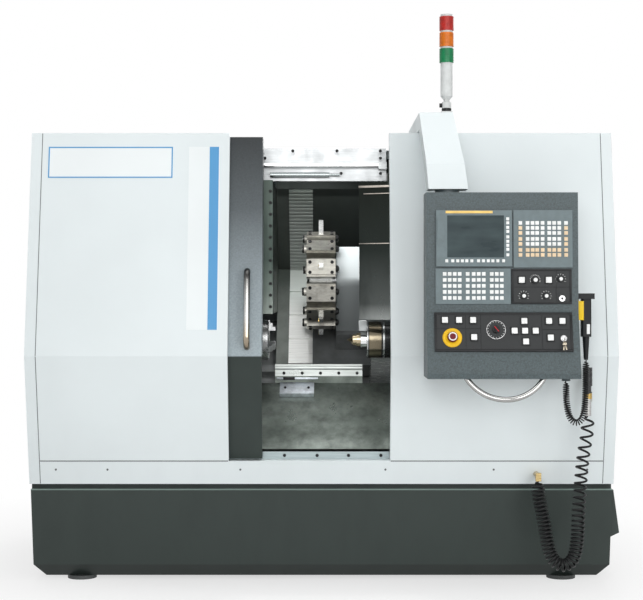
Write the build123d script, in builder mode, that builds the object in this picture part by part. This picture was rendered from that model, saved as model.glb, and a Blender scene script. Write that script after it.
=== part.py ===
# CNC turning lathe: slant bed, sliding door, twelve station turret, tailstock and swivelling control pendant.
# Millimetres, +Z up, the front towards -Y, the origin on the floor at the centre of the four anchor holes.
import os
from math import cos, pi, radians, sin, sqrt, tan

from build123d import *

os.makedirs("parts", exist_ok=True)

# Overall sizes and heights
width = 2380
depth = 1600
top_z = 1845
roof_z = 1800
fold_z = 935
seam_z = 506
skirt_z = 410
band_z = 385
toe_z = 66
pad_h = 15
sheet = 3
overrun = 20
running_gap = 0.3
seam_gap = 0.8

# How far each level of the front stands behind the fold
top_lean = 166
skirt_lean = 113
base_lean = 140
band_lean = 165
toe_lean = 199
foot_lean = 240
toe_side = 47
base_back_gap = 20

# Floor anchors
anchor_inset = 380
anchor_y = 1050
anchor_r = 13
anchor_depth = 80
pad_r = 60

# Coolant tank in its pocket, with the sloped splash guard outside
tank_x = 200
tank_front = -420
tank_back = 120
tank_low = 70
tank_high = 330
tank_gap = 4
guard_reach = 42
guard_shoulder = 18
guard_high = 383
guard_brow = 373
guard_nose = 196
guard_low = 176
guard_front = -590
guard_back = 220

# Covers
corner_strip = 45
cover_return = 28
top_return = 60
skirt_flange = 40
opening_left = -377
opening_right = 279
port_r = 70
cabinet_raise = 6
cabinet_margin = 90
cabinet_gap = 30
louvre_count = 9
louvre_up = 180
louvre_l = 260
louvre_h = 12
louvre_pitch = 34

# Spindle line and slanted slide plane
spindle_y = -350
spindle_z = 986
bed_drop = 400
bed_low = -190
bed_high = 600
bed_inset = 190
way_w = 40
way_h = 28
tailstock_ways = (-120, 60)
saddle_ways = (170, 490)

# Headstock, spindle and chuck
head_right = -345
head_half = 150
head_high = 140
head_round = 60
spindle_r = 60
spindle_fit = 0.05
bar_r = 22
nose_r = 76
tail_inset = 60
tail_r = 72
tail_l = 110
chuck_r = 86
chuck_back = -335
chuck_face = -225
chuck_round = 4
jaw_w = 30
jaw_depth = 14
jaw_in = 40
jaw_out = 84
jaw_step_in = 16
jaw_step_out = 32
jaw_step_h = 12
jaw_step_low = 24
jaw_top = 27
jaw_count = 3

# Turret on its cross slide
turret_v = 363
disc_left = -52
disc_right = 48
disc_flat_r = 170
station_count = 12
hub_r = 95
hub_l = 10
holder_x = 126
holder_w = 80
holder_h = 46
holder_chamfer = 8
holder_slot_h = 16
bush_r = 19
bush_l = 11
bar_tool_r = 12
bar_tool_l = 9
shank = 20
shank_reach = 34
tall_r = 274
house_left = 66
house_right = 300
house_half = 120
house_high = 110
house_round = 30
shaft_r = 45
shaft_l = 90
station_start = 45
tall_number = 2
slide_high = -200
slide_v = (218, 520)
saddle_v = (125, 540)
saddle_left = -40
saddle_right = 320
saddle_high = -300

# Tailstock
barrel_r = 78
barrel_left = 200
barrel_right = 430
neck_v = (-50, 90)
neck_x = (215, 420)
neck_high = -40
foot_v = (-150, 95)
foot_h = 45
quill_r = 35
quill_left = 168
quill_right = 400
quill_fit = 0.05
centre_tip = 108
centre_flare = 128
centre_nose_r = 12
centre_r = 24
centre_collar = 150
centre_collar_r = 30
centre_shank_r = 15
centre_shank_l = 60
centre_fit = 0.05

# Chamber sheets
chamber_left = -205
chamber_top = 1662
wall_front = -500
wall_notch = 1100
knee_y = 370
ceiling_y = 50
cover_drop = 290
rib_h = 5
lean_rib_h = 3
rib_count = 24
rib_share = 0.5
lip_count = 4
lip_share = 0.08
way_left_x = -149
way_right_x = -40
way_v = (120, 728)
rear_right = 330
guard_near = (288, -505)
guard_far = (160, -445)
guard_z = (1075, 1655)
guard_tab_z = (1625, 1690)
guard_break = 1395
apron_low = (-645, 548)
apron_knee = (-330, 799)
apron_top = 880
cheek_back = 55
apron_x = (-300, 330)
ledge_x = (-200, 176)
ledge_rod_r = 8
ledge_rod_drop = 16
sill_set = 74
sill_t = 12
sill_top = 536

# Door
door_set = 36
door_t = 26
door_inset = 235
door_right = -242
door_low = 512
door_high = 1832
door_return = 110
window_in = 95
window_right = -480
window_z = (1090, 1640)
pane_t = 10
pane_set = 8
pane_gap = 0.2
grip_x = -301
grip_z = (970, 1275)
grip_r = 13
grip_out = 46
grip_bend = 40
track_y = (-400, -350)
track_z = (1665, 1806)
track_inset = 90
track_right = 276
track_strips = (1742, 1776)
track_step = 12
track_deep = 24
rod_y = -428
rod_z = 1729
rod_r = 9
rod_block = 34
hanger_in = 65
hanger_right = -330
hanger_w = 80
hanger_half = 20
hanger_t = 8
damper_x = (-218, 34)
damper_z = 1690
damper_r = 12
damper_nose = 43
damper_nose_r = 6

# Pendant arm, swivel and beacon
arm_back = -100
arm_top = 1907
arm_thick = 60
arm_post_y = -300
arm_brow = -830
arm_front = -985
arm_bend = 1690
arm_foot = 1592
arm_heel = -850
arm_elbow = -735
arm_top_x = (389, 523)
arm_foot_x = (415, 569)
swivel_x = 492
swivel_y = -917
swivel_r = 48
beacon_x = 500
beacon_y = -800
beacon_r = 28
beacon_tube_r = 24
beacon_neck_r = 12
beacon_foot = (44, 60, 5)
beacon_core_r = 10
beacon_neck_h = 53
beacon_taper_h = 14
beacon_tube_h = 126
lens_h = 56
lens_gap = 8
lens_count = 3
beacon_cap = 9

# Control pendant. Places on its faces are pixels of the view, times pendant_pixel.
pendant_pixel = 3.86
view_middle = 322
view_fold = 311
pendant_x = (405, 992)
pendant_top = 1578
pendant_fold = 1119
pendant_lip = 880
pendant_low = 860
pendant_y = (-995, -1010, -1075)
pendant_back = (-850, -860)
face_sink = 1
display_px = (436.6, 512.3, 210.3, 266.6)
display_t = 14
screen_px = (447.6, 504.4, 215.5, 257.6)
screen_sink = 4
screen_gap = 0.2
display_keys_px = 261
display_columns_px = (447, 453, 458, 462.6, 467, 472, 478.7, 483.6, 488.5, 493, 498, 503.7)
side_keys_px = 508
side_rows_px = (219, 223, 227.6, 231.6, 237, 241.5, 245.5, 249.5, 255)
card_px = (437.6, 444.5, 219, 243)
key_size = 13
key_h = 3
small_key = 10
data_px = (514, 573, 210, 267.6)
data_columns_px = (520.8, 528, 533, 537.6, 543, 549.7, 554.6, 559.7, 566.5)
data_rows_px = (223, 228, 233, 239, 244, 250, 255)
operator_px = (436, 511, 268.6, 304)
operator_columns_px = (445, 450, 455, 460, 468, 474, 479, 484, 492, 497, 502)
operator_rows_px = (274, 280, 286, 292, 298)
keypad_t = 8
upper_px = (512, 572, 269, 304)
lower_px = (434.5, 572, 313, 353)
panel_t = 7
square = 22
square_h = 7
upper_squares_px = ((522, 280), (549, 280))
lower_squares_px = ((473, 321), (473.6, 338.5), (524, 322), (514, 332), (524.4, 332),
                    (535, 332), (525, 343), (548.6, 322), (562, 322), (549.7, 339))
start_px = (445, 321)
hold_px = (459, 321)
press_travel = 3
well_depth = 5
well_play = 0.6
stop_px = (452, 339)
stop_ring_r = 36
stop_ring_h = 4
stop_stem_r = 12
stop_cap_r = 20
stop_cap_h = 14
stop_travel = 6
mode_px = (495.7, 331)
mode_r = 36
mode_knob_r = 14
mode_knob_h = 16
mode_grip = 7
mode_grip_l = 28
grip_up_share = 0.75
dial_h = 4
feed_px = (535.5, 280)
feed_r = 14
feed_h = 13
knob_px = ((524, 296), (546.5, 296), (561, 279))
knob_r = 12
knob_h = 11
upper_key_px = (562, 298.6)
key_px = (562.5, 340)
key_r = 12
key_body_h = 8
key_blade = (3, 14, 18)
spindle_stub_r = 5
bar_px = (464.5, 544)
bar_drop = 78
bar_tube_r = 11
bar_y = -1050
bar_out = 35
bar_over = 12

# Handheld unit on the right flank of the pendant
hand_x = 1031
hand_y = -950
hand_w = 38
hand_d = 40
hand_z = (1018, 1165)
hand_flange = (68, 58, 22)
hand_round = 8
lever_t = 8
lever_x = 994
lever_d = 22
lever_low = 1085
lever_gap = 0.7
relief_r = (13, 8)

# Curly cord of the handheld unit: one fat tube of its outer size
coil_r = 14
coil_route = ((952, -958, 846), (952, -958, 800), (954, -965, 752), (962, -970, 708), (982, -972, 682),
              (1007, -970, 688), (1022, -964, 718), (1027, -958, 768), (1030, -953, 826), (1031, -950, 880),
              (1031, -950, 928))
gland_r = 17
run_share = 0.45

# Curly air hose: brass fitting on the skirt, a hanging loop and a coupler on its hook
hose_r = 24
hose_fit_z = 452
fitting_r = 11
fitting_l = 26
# Points of the hose, each with its distance in from the right end first
hose_points = ((317, -756, 430), (317, -756, 380), (306, -768, 318), (293, -775, 252), (285, -784, 186),
               (268, -792, 122), (224, -802, 92), (184, -812, 122), (171, -820, 190), (168, -825, 262),
               (166, -828, 338), (160, -830, 414), (155, -832, 490), (146, -835, 566), (132, -838, 640),
               (132, -838, 700))
coupler_high = 892
coupler_r = (14, 17, 14, 18)
coupler_z_shares = (0, 0.3, 0.5, 0.62, 1)
hook_r = 5
hook_z = 880
hook_in = 22
hook_gap = 0.2


def keep(builder, label):
    """Name a finished piece and write it."""
    builder.part.label = label
    export_step(builder.part, f"parts/{label}.step")


def front_at(z):
    """Y of the outer front face at height z: it leans back above and below the fold."""
    if z >= fold_z:
        return front_y + top_lean * (z - fold_z) / (top_z - fold_z)
    return front_y + skirt_lean * (fold_z - z) / (fold_z - skirt_z)


def block(x_span, y_span, z_span, mode=Mode.ADD):
    """Box between two limits along each axis."""
    spans = (x_span, y_span, z_span)
    with Locations(tuple((low + high) / 2 for low, high in spans)):
        Box(*[high - low for low, high in spans], mode=mode)


def yz_face(points, x):
    """Face inside an outline of (y, z) points, on the plane at x that looks along +X."""
    with BuildSketch(Plane.YZ.offset(x)) as outline:
        with BuildLine():
            Polyline(*points, close=True)
        make_face()
    return outline.sketch


def xz_face(points, y):
    """Face inside an outline of (x, z) points, on the plane at y that looks along -Y."""
    with BuildSketch(Plane.XZ.offset(-y)) as outline:
        with BuildLine():
            Polyline(*points, close=True)
        make_face()
    return outline.sketch


def xy_face(points, z):
    """Face inside an outline of (x, y) points, on the plane at z."""
    with BuildSketch(Plane.XY.offset(z)) as outline:
        with BuildLine():
            Polyline(*points, close=True)
        make_face()
    return outline.sketch


def folded(z_low, z_high, near, far):
    """Outline of a band behind the front face, between two heights and two set-backs."""
    levels = [z_low, z_high]
    if z_low < fold_z < z_high:
        levels = [z_low, fold_z, z_high]
    outer = [(front_at(z) + near, z) for z in levels]
    inner = [(front_at(z) + far, z) for z in reversed(levels)]
    return outer + inner


def folded_band(x_span, z_span, near, far, mode=Mode.ADD):
    """Folded sheet or leaf that follows the front, swept along X."""
    extrude(yz_face(folded(*z_span, near, far), x_span[0]), amount=x_span[1] - x_span[0], mode=mode)


def turned(profile, plane, mode=Mode.ADD):
    """Solid turned about the plane's local X axis from (along, radius) points."""
    with BuildSketch(plane) as outline:
        with BuildLine():
            Polyline(*profile, close=True)
        make_face()
    revolve(outline.sketch, axis=Axis(plane.origin, plane.x_dir), mode=mode)


def px_x(pixel):
    """World X of a pixel column on the pendant."""
    return (pixel - view_middle) * pendant_pixel


def px_up(pixel):
    """Distance up a pendant face, from its fold, of a pixel row."""
    return (view_fold - pixel) * pendant_pixel


def px_box(box, low, high, mode=Mode.ADD):
    """Box on a pendant face from its pixel limits, between two heights above that face."""
    left, right, top, bottom = box
    block((px_x(left), px_x(right)), (px_up(bottom), px_up(top)), (low, high), mode)


def px_point(place, height):
    """Point on a pendant face from its pixel, at a height above that face."""
    return (px_x(place[0]), px_up(place[1]), height)


half = width / 2
anchor_x = width - anchor_inset
bed_right = half - bed_inset
bed_left = -bed_right
head_left = bed_left
tail_end = tail_inset - half
door_left = door_inset - half
window_x = (door_left + window_in, window_right)
track_x = (track_inset - half, track_right)
hanger_x = (door_left + hanger_in, hanger_right)
arm_under = arm_top - arm_thick
beacon_neck_z = arm_top + beacon_neck_h
beacon_taper_z = beacon_neck_z + beacon_taper_h
beacon_tube_z = beacon_taper_z + beacon_tube_h
hose_route = [(half - away, y, z) for away, y, z in hose_points]
hose_fit = (hose_route[0][0], hose_fit_z)
front_y = -depth / 2
back_y = depth / 2
inner_x = half - corner_strip
spindle_plane = Plane(origin=(0, spindle_y, spindle_z), x_dir=(1, 0, 0), z_dir=(0, -1, 0))
slope = Plane(origin=(0, spindle_y, spindle_z), x_dir=(1, 0, 0), z_dir=(0, -1, 1))

# Base frame: folded front with a recessed band, bevelled toe, anchor sockets and the tank pocket
base_back = back_y - base_back_gap
base_profile = [
    (front_y + foot_lean, pad_h),
    (front_y + toe_lean, toe_z),
    (front_y + base_lean, band_z),
    (front_y + band_lean, band_z),
    (front_y + band_lean, skirt_z),
    (base_back, skirt_z),
    (base_back, pad_h),
]
base_outline = [
    (-half, toe_z),
    (-half + toe_side, pad_h),
    (half - toe_side, pad_h),
    (half, toe_z),
    (half, skirt_z),
    (-half, skirt_z),
]
with BuildPart() as base_frame:
    extrude(yz_face(base_profile, -half), amount=width)
    extrude(xz_face(base_outline, back_y), amount=depth, mode=Mode.INTERSECT)
    block((tank_x, half + overrun), (tank_front, tank_back), (tank_low, tank_high), Mode.SUBTRACT)
    with Locations((0, 0, pad_h + anchor_depth / 2)):
        with GridLocations(anchor_x, anchor_y, 2, 2):
            Cylinder(anchor_r, anchor_depth, mode=Mode.SUBTRACT)
keep(base_frame, "base_frame")

# Levelling feet: four pads with the anchor hole through each
with BuildPart() as levelling_feet:
    with BuildSketch():
        with GridLocations(anchor_x, anchor_y, 2, 2):
            Circle(pad_r)
            Circle(anchor_r, mode=Mode.SUBTRACT)
    extrude(amount=pad_h)
keep(levelling_feet, "levelling_feet")

# Coolant tank, drawn out to the right, with its sloped splash guard
guard_outline = [
    (half, guard_high),
    (half + guard_shoulder, guard_brow),
    (half + guard_reach, guard_nose),
    (half, guard_low),
]
with BuildPart() as coolant_tank:
    tank_y = (tank_front + tank_gap, tank_back - tank_gap)
    block((tank_x + tank_gap, half), tank_y, (tank_low, tank_high - tank_gap))
    extrude(xz_face(guard_outline, guard_back), amount=guard_back - guard_front)
keep(coolant_tank, "coolant_tank")

# End covers: a side sheet that turns the front corner as a narrow strip
side_outline = folded(skirt_z, top_z, 0, sheet)[:3] + [(back_y, top_z), (back_y, skirt_z)]
with BuildPart() as left_end_cover:
    extrude(yz_face(side_outline, -half), amount=sheet)
    folded_band((-half, -inner_x), (skirt_z, top_z), 0, sheet)
    with Locations(Location((-half, spindle_y, spindle_z), (0, 90, 0))):
        Cylinder(port_r, overrun, mode=Mode.SUBTRACT)
keep(left_end_cover, "left_end_cover")

with BuildPart() as right_end_cover:
    extrude(yz_face(side_outline, half - sheet), amount=sheet)
    folded_band((inner_x, half), (skirt_z, top_z), 0, sheet)
keep(right_end_cover, "right_end_cover")

# Rear cover with two cabinet doors and their louvres
plate_y = back_y - cabinet_raise - sheet
cabinet_w = width / 2 - cabinet_margin - cabinet_gap / 2
cabinet_x = (cabinet_w + cabinet_gap) / 2
cabinet_low = skirt_z + cabinet_margin
cabinet_high = roof_z - cabinet_margin
louvre_z = cabinet_low + louvre_up
with BuildPart() as rear_cover:
    block((-half + sheet, half - sheet), (plate_y, plate_y + sheet), (skirt_z, roof_z))
    for side in (-1, 1):
        middle = side * cabinet_x
        leaf_x = (middle - cabinet_w / 2, middle + cabinet_w / 2)
        block(leaf_x, (plate_y + sheet, back_y), (cabinet_low, cabinet_high))
    with BuildSketch(Plane.XZ.offset(-back_y)):
        with Locations((-cabinet_x, louvre_z + louvre_pitch * louvre_count / 2)):
            with GridLocations(louvre_l, louvre_pitch, 1, louvre_count):
                SlotOverall(louvre_l, louvre_h)
    extrude(amount=cabinet_raise + sheet, mode=Mode.SUBTRACT)
keep(rear_cover, "rear_cover")

# Roof sheet behind the door track
with BuildPart() as roof_cover:
    block((-half + sheet, half - sheet), (track_y[1], plate_y), (roof_z - sheet, roof_z))
keep(roof_cover, "roof_cover")

# Front covers: folded sheets with returns at the opening and along the top
cover_x = inner_x - seam_gap
with BuildPart() as front_left_cover:
    folded_band((-cover_x, opening_left), (seam_z, top_z), 0, sheet)
    folded_band((opening_left - sheet, opening_left), (seam_z, top_z), 0, cover_return)
    block((-cover_x, opening_left), (front_at(top_z), front_at(top_z) + cover_return), (top_z - sheet, top_z))
keep(front_left_cover, "front_left_cover")

with BuildPart() as front_right_cover:
    folded_band((opening_right, cover_x), (seam_z, top_z), 0, sheet)
    folded_band((opening_right, opening_right + sheet), (seam_z, top_z), 0, top_return)
    block((opening_right, cover_x), (front_at(top_z), front_at(top_z) + top_return), (top_z - sheet, top_z))
    with Locations(Location((hose_route[-1][0], front_at(hook_z), hook_z), (90, 0, 0))):
        Cylinder(hook_r + hook_gap, overrun, mode=Mode.SUBTRACT)
keep(front_right_cover, "front_right_cover")

# Skirt: a shallow channel whose lower flange lies on the base and whose upper flange carries the sill
skirt_top = seam_z - seam_gap
sill_y = front_at(skirt_top) + sill_set
with BuildPart() as front_skirt:
    folded_band((-cover_x, cover_x), (skirt_z, skirt_top), 0, sheet)
    flange_y = (front_at(skirt_z), front_y + band_lean + skirt_flange)
    block((-cover_x, cover_x), flange_y, (skirt_z, skirt_z + sheet))
    block((-cover_x, cover_x), (front_at(skirt_top), sill_y + sill_t), (skirt_top - sheet, skirt_top))
    with Locations(Location((hose_fit[0], front_at(hose_fit[1]), hose_fit[1]), (90, 0, 0))):
        Cylinder(fitting_r + hook_gap, overrun, mode=Mode.SUBTRACT)
keep(front_skirt, "front_skirt")

# Door sill: the upright guide strip under the opening
with BuildPart() as door_sill:
    block((-cover_x, opening_right), (sill_y, sill_y + sill_t), (skirt_top, sill_top))
keep(door_sill, "door_sill")

# Chamber: leaning rear wall, ribbed way cover on the slant, left wall, right guard and chip apron
root2 = sqrt(2)
knee_z = spindle_z + knee_y - spindle_y - cover_drop * root2
with BuildPart(slope) as slant_strip:
    block((chamber_left, way_left_x), (way_v[0], way_v[1] + sheet), (-cover_drop, sheet - cover_drop))

with BuildPart() as rear_wall:
    rear_outline = [
        (ceiling_y, chamber_top),
        (knee_y, knee_z),
        (knee_y + sheet, knee_z),
        (ceiling_y + sheet, chamber_top),
    ]
    extrude(yz_face(rear_outline, chamber_left), amount=rear_right - chamber_left)
    block((chamber_left, rear_right), (ceiling_y, ceiling_y + sheet), (chamber_top, roof_z - sheet))
    add(slant_strip.part)
keep(rear_wall, "rear_wall")

lip_pitch = (way_v[1] - way_v[0]) / lip_count
with BuildPart(slope) as slant_leaf:
    block((way_left_x, way_right_x), way_v, (-cover_drop, sheet - cover_drop))
    for lip in range(lip_count):
        lip_low = way_v[0] + lip * lip_pitch
        lip_span = (lip_low, lip_low + lip_pitch * lip_share)
        block((way_left_x, way_right_x), lip_span, (sheet - cover_drop, sheet + rib_h - cover_drop))

# The cover goes on up the leaning rear wall, finely ribbed there
lean_rise = (ceiling_y - knee_y, chamber_top - knee_z)
lean_plane = Plane(origin=(0, knee_y, knee_z), x_dir=(1, 0, 0), z_dir=(0, -lean_rise[1], lean_rise[0]))
lean_top = sqrt(lean_rise[0] ** 2 + lean_rise[1] ** 2)
lean_pitch = lean_top / rib_count
with BuildPart(lean_plane) as lean_ribs:
    block((way_left_x, way_right_x), (0, lean_top - rib_h), (0, sheet))
    for rib in range(rib_count):
        rib_span = (rib * lean_pitch, (rib + rib_share) * lean_pitch)
        block((way_left_x, way_right_x), rib_span, (sheet, sheet + lean_rib_h))

with BuildPart() as way_cover:
    add(slant_leaf.part)
    add(lean_ribs.part)
keep(way_cover, "way_cover")

with BuildPart() as left_wall:
    wall_outline = [
        (wall_front, chamber_top),
        (ceiling_y, chamber_top),
        (knee_y, knee_z),
        (knee_y - (knee_z - wall_notch), wall_notch),
        (wall_front, wall_notch),
    ]
    extrude(yz_face(wall_outline, chamber_left - sheet), amount=sheet)
    lip_x = (chamber_left - top_return - cover_return, chamber_left)
    block(lip_x, (wall_front, wall_front + sheet), (wall_notch, chamber_top))
keep(left_wall, "left_wall")

guard_dx = guard_far[0] - guard_near[0]
guard_dy = guard_far[1] - guard_near[1]
guard_len = sqrt(guard_dx ** 2 + guard_dy ** 2)
guard_off = (guard_dy / guard_len * sheet, -guard_dx / guard_len * sheet)
with BuildPart() as right_guard:
    guard_plan = [
        guard_near,
        guard_far,
        (guard_far[0] + guard_off[0], guard_far[1] + guard_off[1]),
        (guard_near[0] + guard_off[0], guard_near[1] + guard_off[1]),
    ]
    extrude(xy_face(guard_plan, guard_z[0]), amount=guard_z[1] - guard_z[0])
    lap_plan = [
        guard_near,
        guard_far,
        (guard_far[0] - guard_off[0], guard_far[1] - guard_off[1]),
        (guard_near[0] - guard_off[0], guard_near[1] - guard_off[1]),
    ]
    extrude(xy_face(lap_plan, guard_break), amount=guard_z[1] - guard_break)
    block((track_x[1], guard_near[0]), (guard_near[1], track_y[1]), guard_tab_z)
keep(right_guard, "right_guard")

with BuildPart() as chip_apron:
    slope_outline = [
        apron_low,
        apron_knee,
        (apron_knee[0] + sheet, apron_knee[1]),
        (apron_low[0] + sheet, apron_low[1]),
    ]
    extrude(yz_face(slope_outline, apron_x[0]), amount=apron_x[1] - apron_x[0])
    block(ledge_x, (apron_knee[0], apron_knee[0] + sheet), (apron_knee[1], apron_top))
    apron_rise = (apron_knee[1] - apron_low[1]) / (apron_knee[0] - apron_low[0])
    cheek_outline = [
        (apron_low[0] + cheek_back, apron_low[1] + (cheek_back - sheet) * apron_rise),
        (apron_knee[0] + sheet, apron_knee[1]),
        (apron_knee[0] + sheet, skirt_z),
        (apron_low[0] + cheek_back, skirt_z),
    ]
    for cheek_x in (apron_x[0], apron_x[1] - sheet):
        extrude(yz_face(cheek_outline, cheek_x), amount=sheet)
    with Locations(Location((sum(ledge_x) / 2, apron_knee[0], apron_top - ledge_rod_drop), (0, 90, 0))):
        Cylinder(ledge_rod_r, ledge_x[1] - ledge_x[0])
keep(chip_apron, "chip_apron")

# Door track with stepped strips, its end blocks, the guide rod and the door damper
with BuildPart() as door_track:
    track_outline = [
        (track_y[0], track_z[0]),
        (track_y[0], track_strips[0]),
        (track_y[0] + track_step, track_strips[0]),
        (track_y[0] + track_step, track_strips[1]),
        (track_y[0] + track_deep, track_strips[1]),
        (track_y[0] + track_deep, track_z[1]),
        (track_y[1], track_z[1]),
        (track_y[1], track_z[0]),
    ]
    extrude(yz_face(track_outline, track_x[0]), amount=track_x[1] - track_x[0])
    for end in (track_x[0], track_x[1] - rod_block):
        carrier_y = (rod_y - rod_block / 2, track_y[0])
        block((end, end + rod_block), carrier_y, (rod_z - rod_block / 2, track_strips[0]))
    with Locations(Location((sum(track_x) / 2, rod_y, rod_z), (0, 90, 0))):
        Cylinder(rod_r + spindle_fit, track_x[1] - track_x[0] + overrun, mode=Mode.SUBTRACT)
keep(door_track, "door_track")

with BuildPart() as guide_rod:
    with Locations(Location((sum(track_x) / 2, rod_y, rod_z), (0, 90, 0))):
        Cylinder(rod_r, track_x[1] - track_x[0])
keep(guide_rod, "guide_rod")

damper_y = track_y[0] - damper_r - running_gap
damper_plane = Plane(origin=(0, damper_y, damper_z), x_dir=(1, 0, 0), z_dir=(0, -1, 0))
with BuildPart() as door_damper:
    damper_tip = damper_x[1] + damper_nose
    damper_profile = [
        (damper_x[0], 0),
        (damper_x[0], damper_r),
        (damper_x[1], damper_r),
        (damper_x[1], damper_nose_r),
        (damper_tip, damper_nose_r),
        (damper_tip, 0),
    ]
    turned(damper_profile, damper_plane)
keep(door_damper, "door_damper")

# Slant bed casting with its ground ways
bed_face = [slope.from_local_coords((0, v, -bed_drop)) for v in (bed_low, bed_high)]
bed_outline = [
    (bed_face[0].Y, bed_face[0].Z),
    (bed_face[1].Y, bed_face[1].Z),
    (base_back, bed_face[1].Z),
    (base_back, skirt_z),
    (bed_face[0].Y, skirt_z),
]
with BuildPart() as slant_bed:
    extrude(yz_face(bed_outline, bed_left), amount=bed_right - bed_left)
    for v in tailstock_ways + saddle_ways:
        with Locations(slope.location * Location(((head_right + bed_right) / 2, v, way_h / 2 - bed_drop))):
            Box(bed_right - head_right, way_w, way_h)
keep(slant_bed, "slant_bed")

# Headstock: rounded casting seated on the bed, bored for the spindle
with BuildPart(slope) as headstock:
    block((head_left, head_right), (-head_half, head_half), (-bed_drop, head_high))
    upper = headstock.edges().filter_by(Axis.X).sort_by(lambda e: slope.to_local_coords(e.center()).Z)[-2:]
    fillet(upper, head_round)
    with Locations(Location(((head_left + head_right) / 2, 0, 0), (0, 90, 0))):
        Cylinder(spindle_r + spindle_fit, head_right - head_left, mode=Mode.SUBTRACT)
keep(headstock, "headstock")

# Spindle: hollow shaft in the headstock bore, with its nose flange and rear clamping cylinder
with BuildPart() as spindle:
    spindle_profile = [
        (tail_end, bar_r),
        (tail_end, tail_r),
        (tail_end + tail_l, tail_r),
        (tail_end + tail_l, spindle_r),
        (head_right + running_gap, spindle_r),
        (head_right + running_gap, nose_r),
        (chuck_back, nose_r),
        (chuck_back, bar_r),
    ]
    turned(spindle_profile, spindle_plane)
keep(spindle, "spindle")


def radial_plane(centre, angle):
    """Plane whose local axes are X, the tangent and the radius at an angle about the X axis."""
    return Plane(origin=centre, x_dir=(1, 0, 0), z_dir=(0, cos(radians(angle)), sin(radians(angle))))


spindle_centre = (0, spindle_y, spindle_z)
jaw_angles = [90 + 360 / jaw_count * number for number in range(jaw_count)]

# Chuck body with a slot for each jaw
with BuildPart() as chuck_body:
    chuck_profile = [
        (chuck_back, bar_r),
        (chuck_back, chuck_r),
        (chuck_face - chuck_round, chuck_r),
        (chuck_face, chuck_r - chuck_round),
        (chuck_face, bar_r),
    ]
    turned(chuck_profile, spindle_plane)
    for angle in jaw_angles:
        with Locations(radial_plane(spindle_centre, angle).location):
            slot_x = (chuck_face - jaw_depth, chuck_face + overrun)
            slot_w = jaw_w / 2 + running_gap
            block(slot_x, (-slot_w, slot_w), (bar_r - overrun / 2, chuck_r + overrun), Mode.SUBTRACT)
keep(chuck_body, "chuck_body")

# Stepped chuck jaws
jaw_bottom = chuck_face - jaw_depth + running_gap
jaw_high = chuck_face + jaw_top
for number, angle in enumerate(jaw_angles, start=1):
    jaw_profile = [
        (jaw_bottom, jaw_in),
        (jaw_high, jaw_in),
        (jaw_high, jaw_in + jaw_step_in),
        (jaw_high - jaw_step_h, jaw_in + jaw_step_in),
        (jaw_high - jaw_step_h, jaw_in + jaw_step_out),
        (jaw_high - jaw_step_low, jaw_in + jaw_step_out),
        (jaw_high - jaw_step_low, jaw_out),
        (jaw_bottom, jaw_out),
    ]
    side = radial_plane(spindle_centre, angle)
    with BuildPart() as chuck_jaw:
        with BuildSketch(Plane(origin=spindle_centre, x_dir=(1, 0, 0), z_dir=-side.y_dir)):
            with BuildLine():
                Polyline(*jaw_profile, close=True)
            make_face()
        extrude(amount=jaw_w / 2, both=True)
    keep(chuck_jaw, f"chuck_jaw_{number}")

# Saddle on the upper pair of ways, and the cross slide on it
saddle_low = way_h + running_gap - bed_drop
with BuildPart(slope) as z_saddle:
    block((saddle_left, saddle_right), saddle_v, (saddle_low, saddle_high))
keep(z_saddle, "z_saddle")

with BuildPart(slope) as cross_slide:
    block((house_left, house_right), slide_v, (saddle_high + running_gap, slide_high))
keep(cross_slide, "cross_slide")

# Turret housing with the bearing bore, and the disc with its shaft
turret_centre = slope.from_local_coords((0, turret_v, 0))
turret_plane = Plane(origin=turret_centre, x_dir=(1, 0, 0), z_dir=(0, -1, 0))
with BuildPart(slope) as turret_housing:
    block((house_left, house_right), (turret_v - house_half, turret_v + house_half), (slide_high, house_high))
    ridges = turret_housing.edges().filter_by(Axis.X)
    fillet(ridges.sort_by(lambda e: slope.to_local_coords(e.center()).Z)[-2:], house_round)
    with Locations(Location(((house_left + house_right) / 2, turret_v, 0), (0, 90, 0))):
        Cylinder(shaft_r + spindle_fit, house_right - house_left, mode=Mode.SUBTRACT)
keep(turret_housing, "turret_housing")

with BuildPart() as turret_disc:
    with BuildSketch(Plane(origin=turret_centre + Vector(disc_left, 0, 0), x_dir=(0, 1, 0), z_dir=(1, 0, 0))):
        flat_turn = station_start - 180 / station_count
        RegularPolygon(disc_flat_r, station_count, major_radius=False, rotation=flat_turn)
    extrude(amount=disc_right - disc_left)
    turret_profile = [
        (disc_left - hub_l, 0),
        (disc_left - hub_l, hub_r - hub_l),
        (disc_left, hub_r),
        (disc_right, hub_r),
        (house_left - running_gap, hub_r),
        (house_left - running_gap, shaft_r),
        (house_left + shaft_l, shaft_r),
        (house_left + shaft_l, 0),
    ]
    turned(turret_profile, turret_plane)
keep(turret_disc, "turret_disc")

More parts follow.
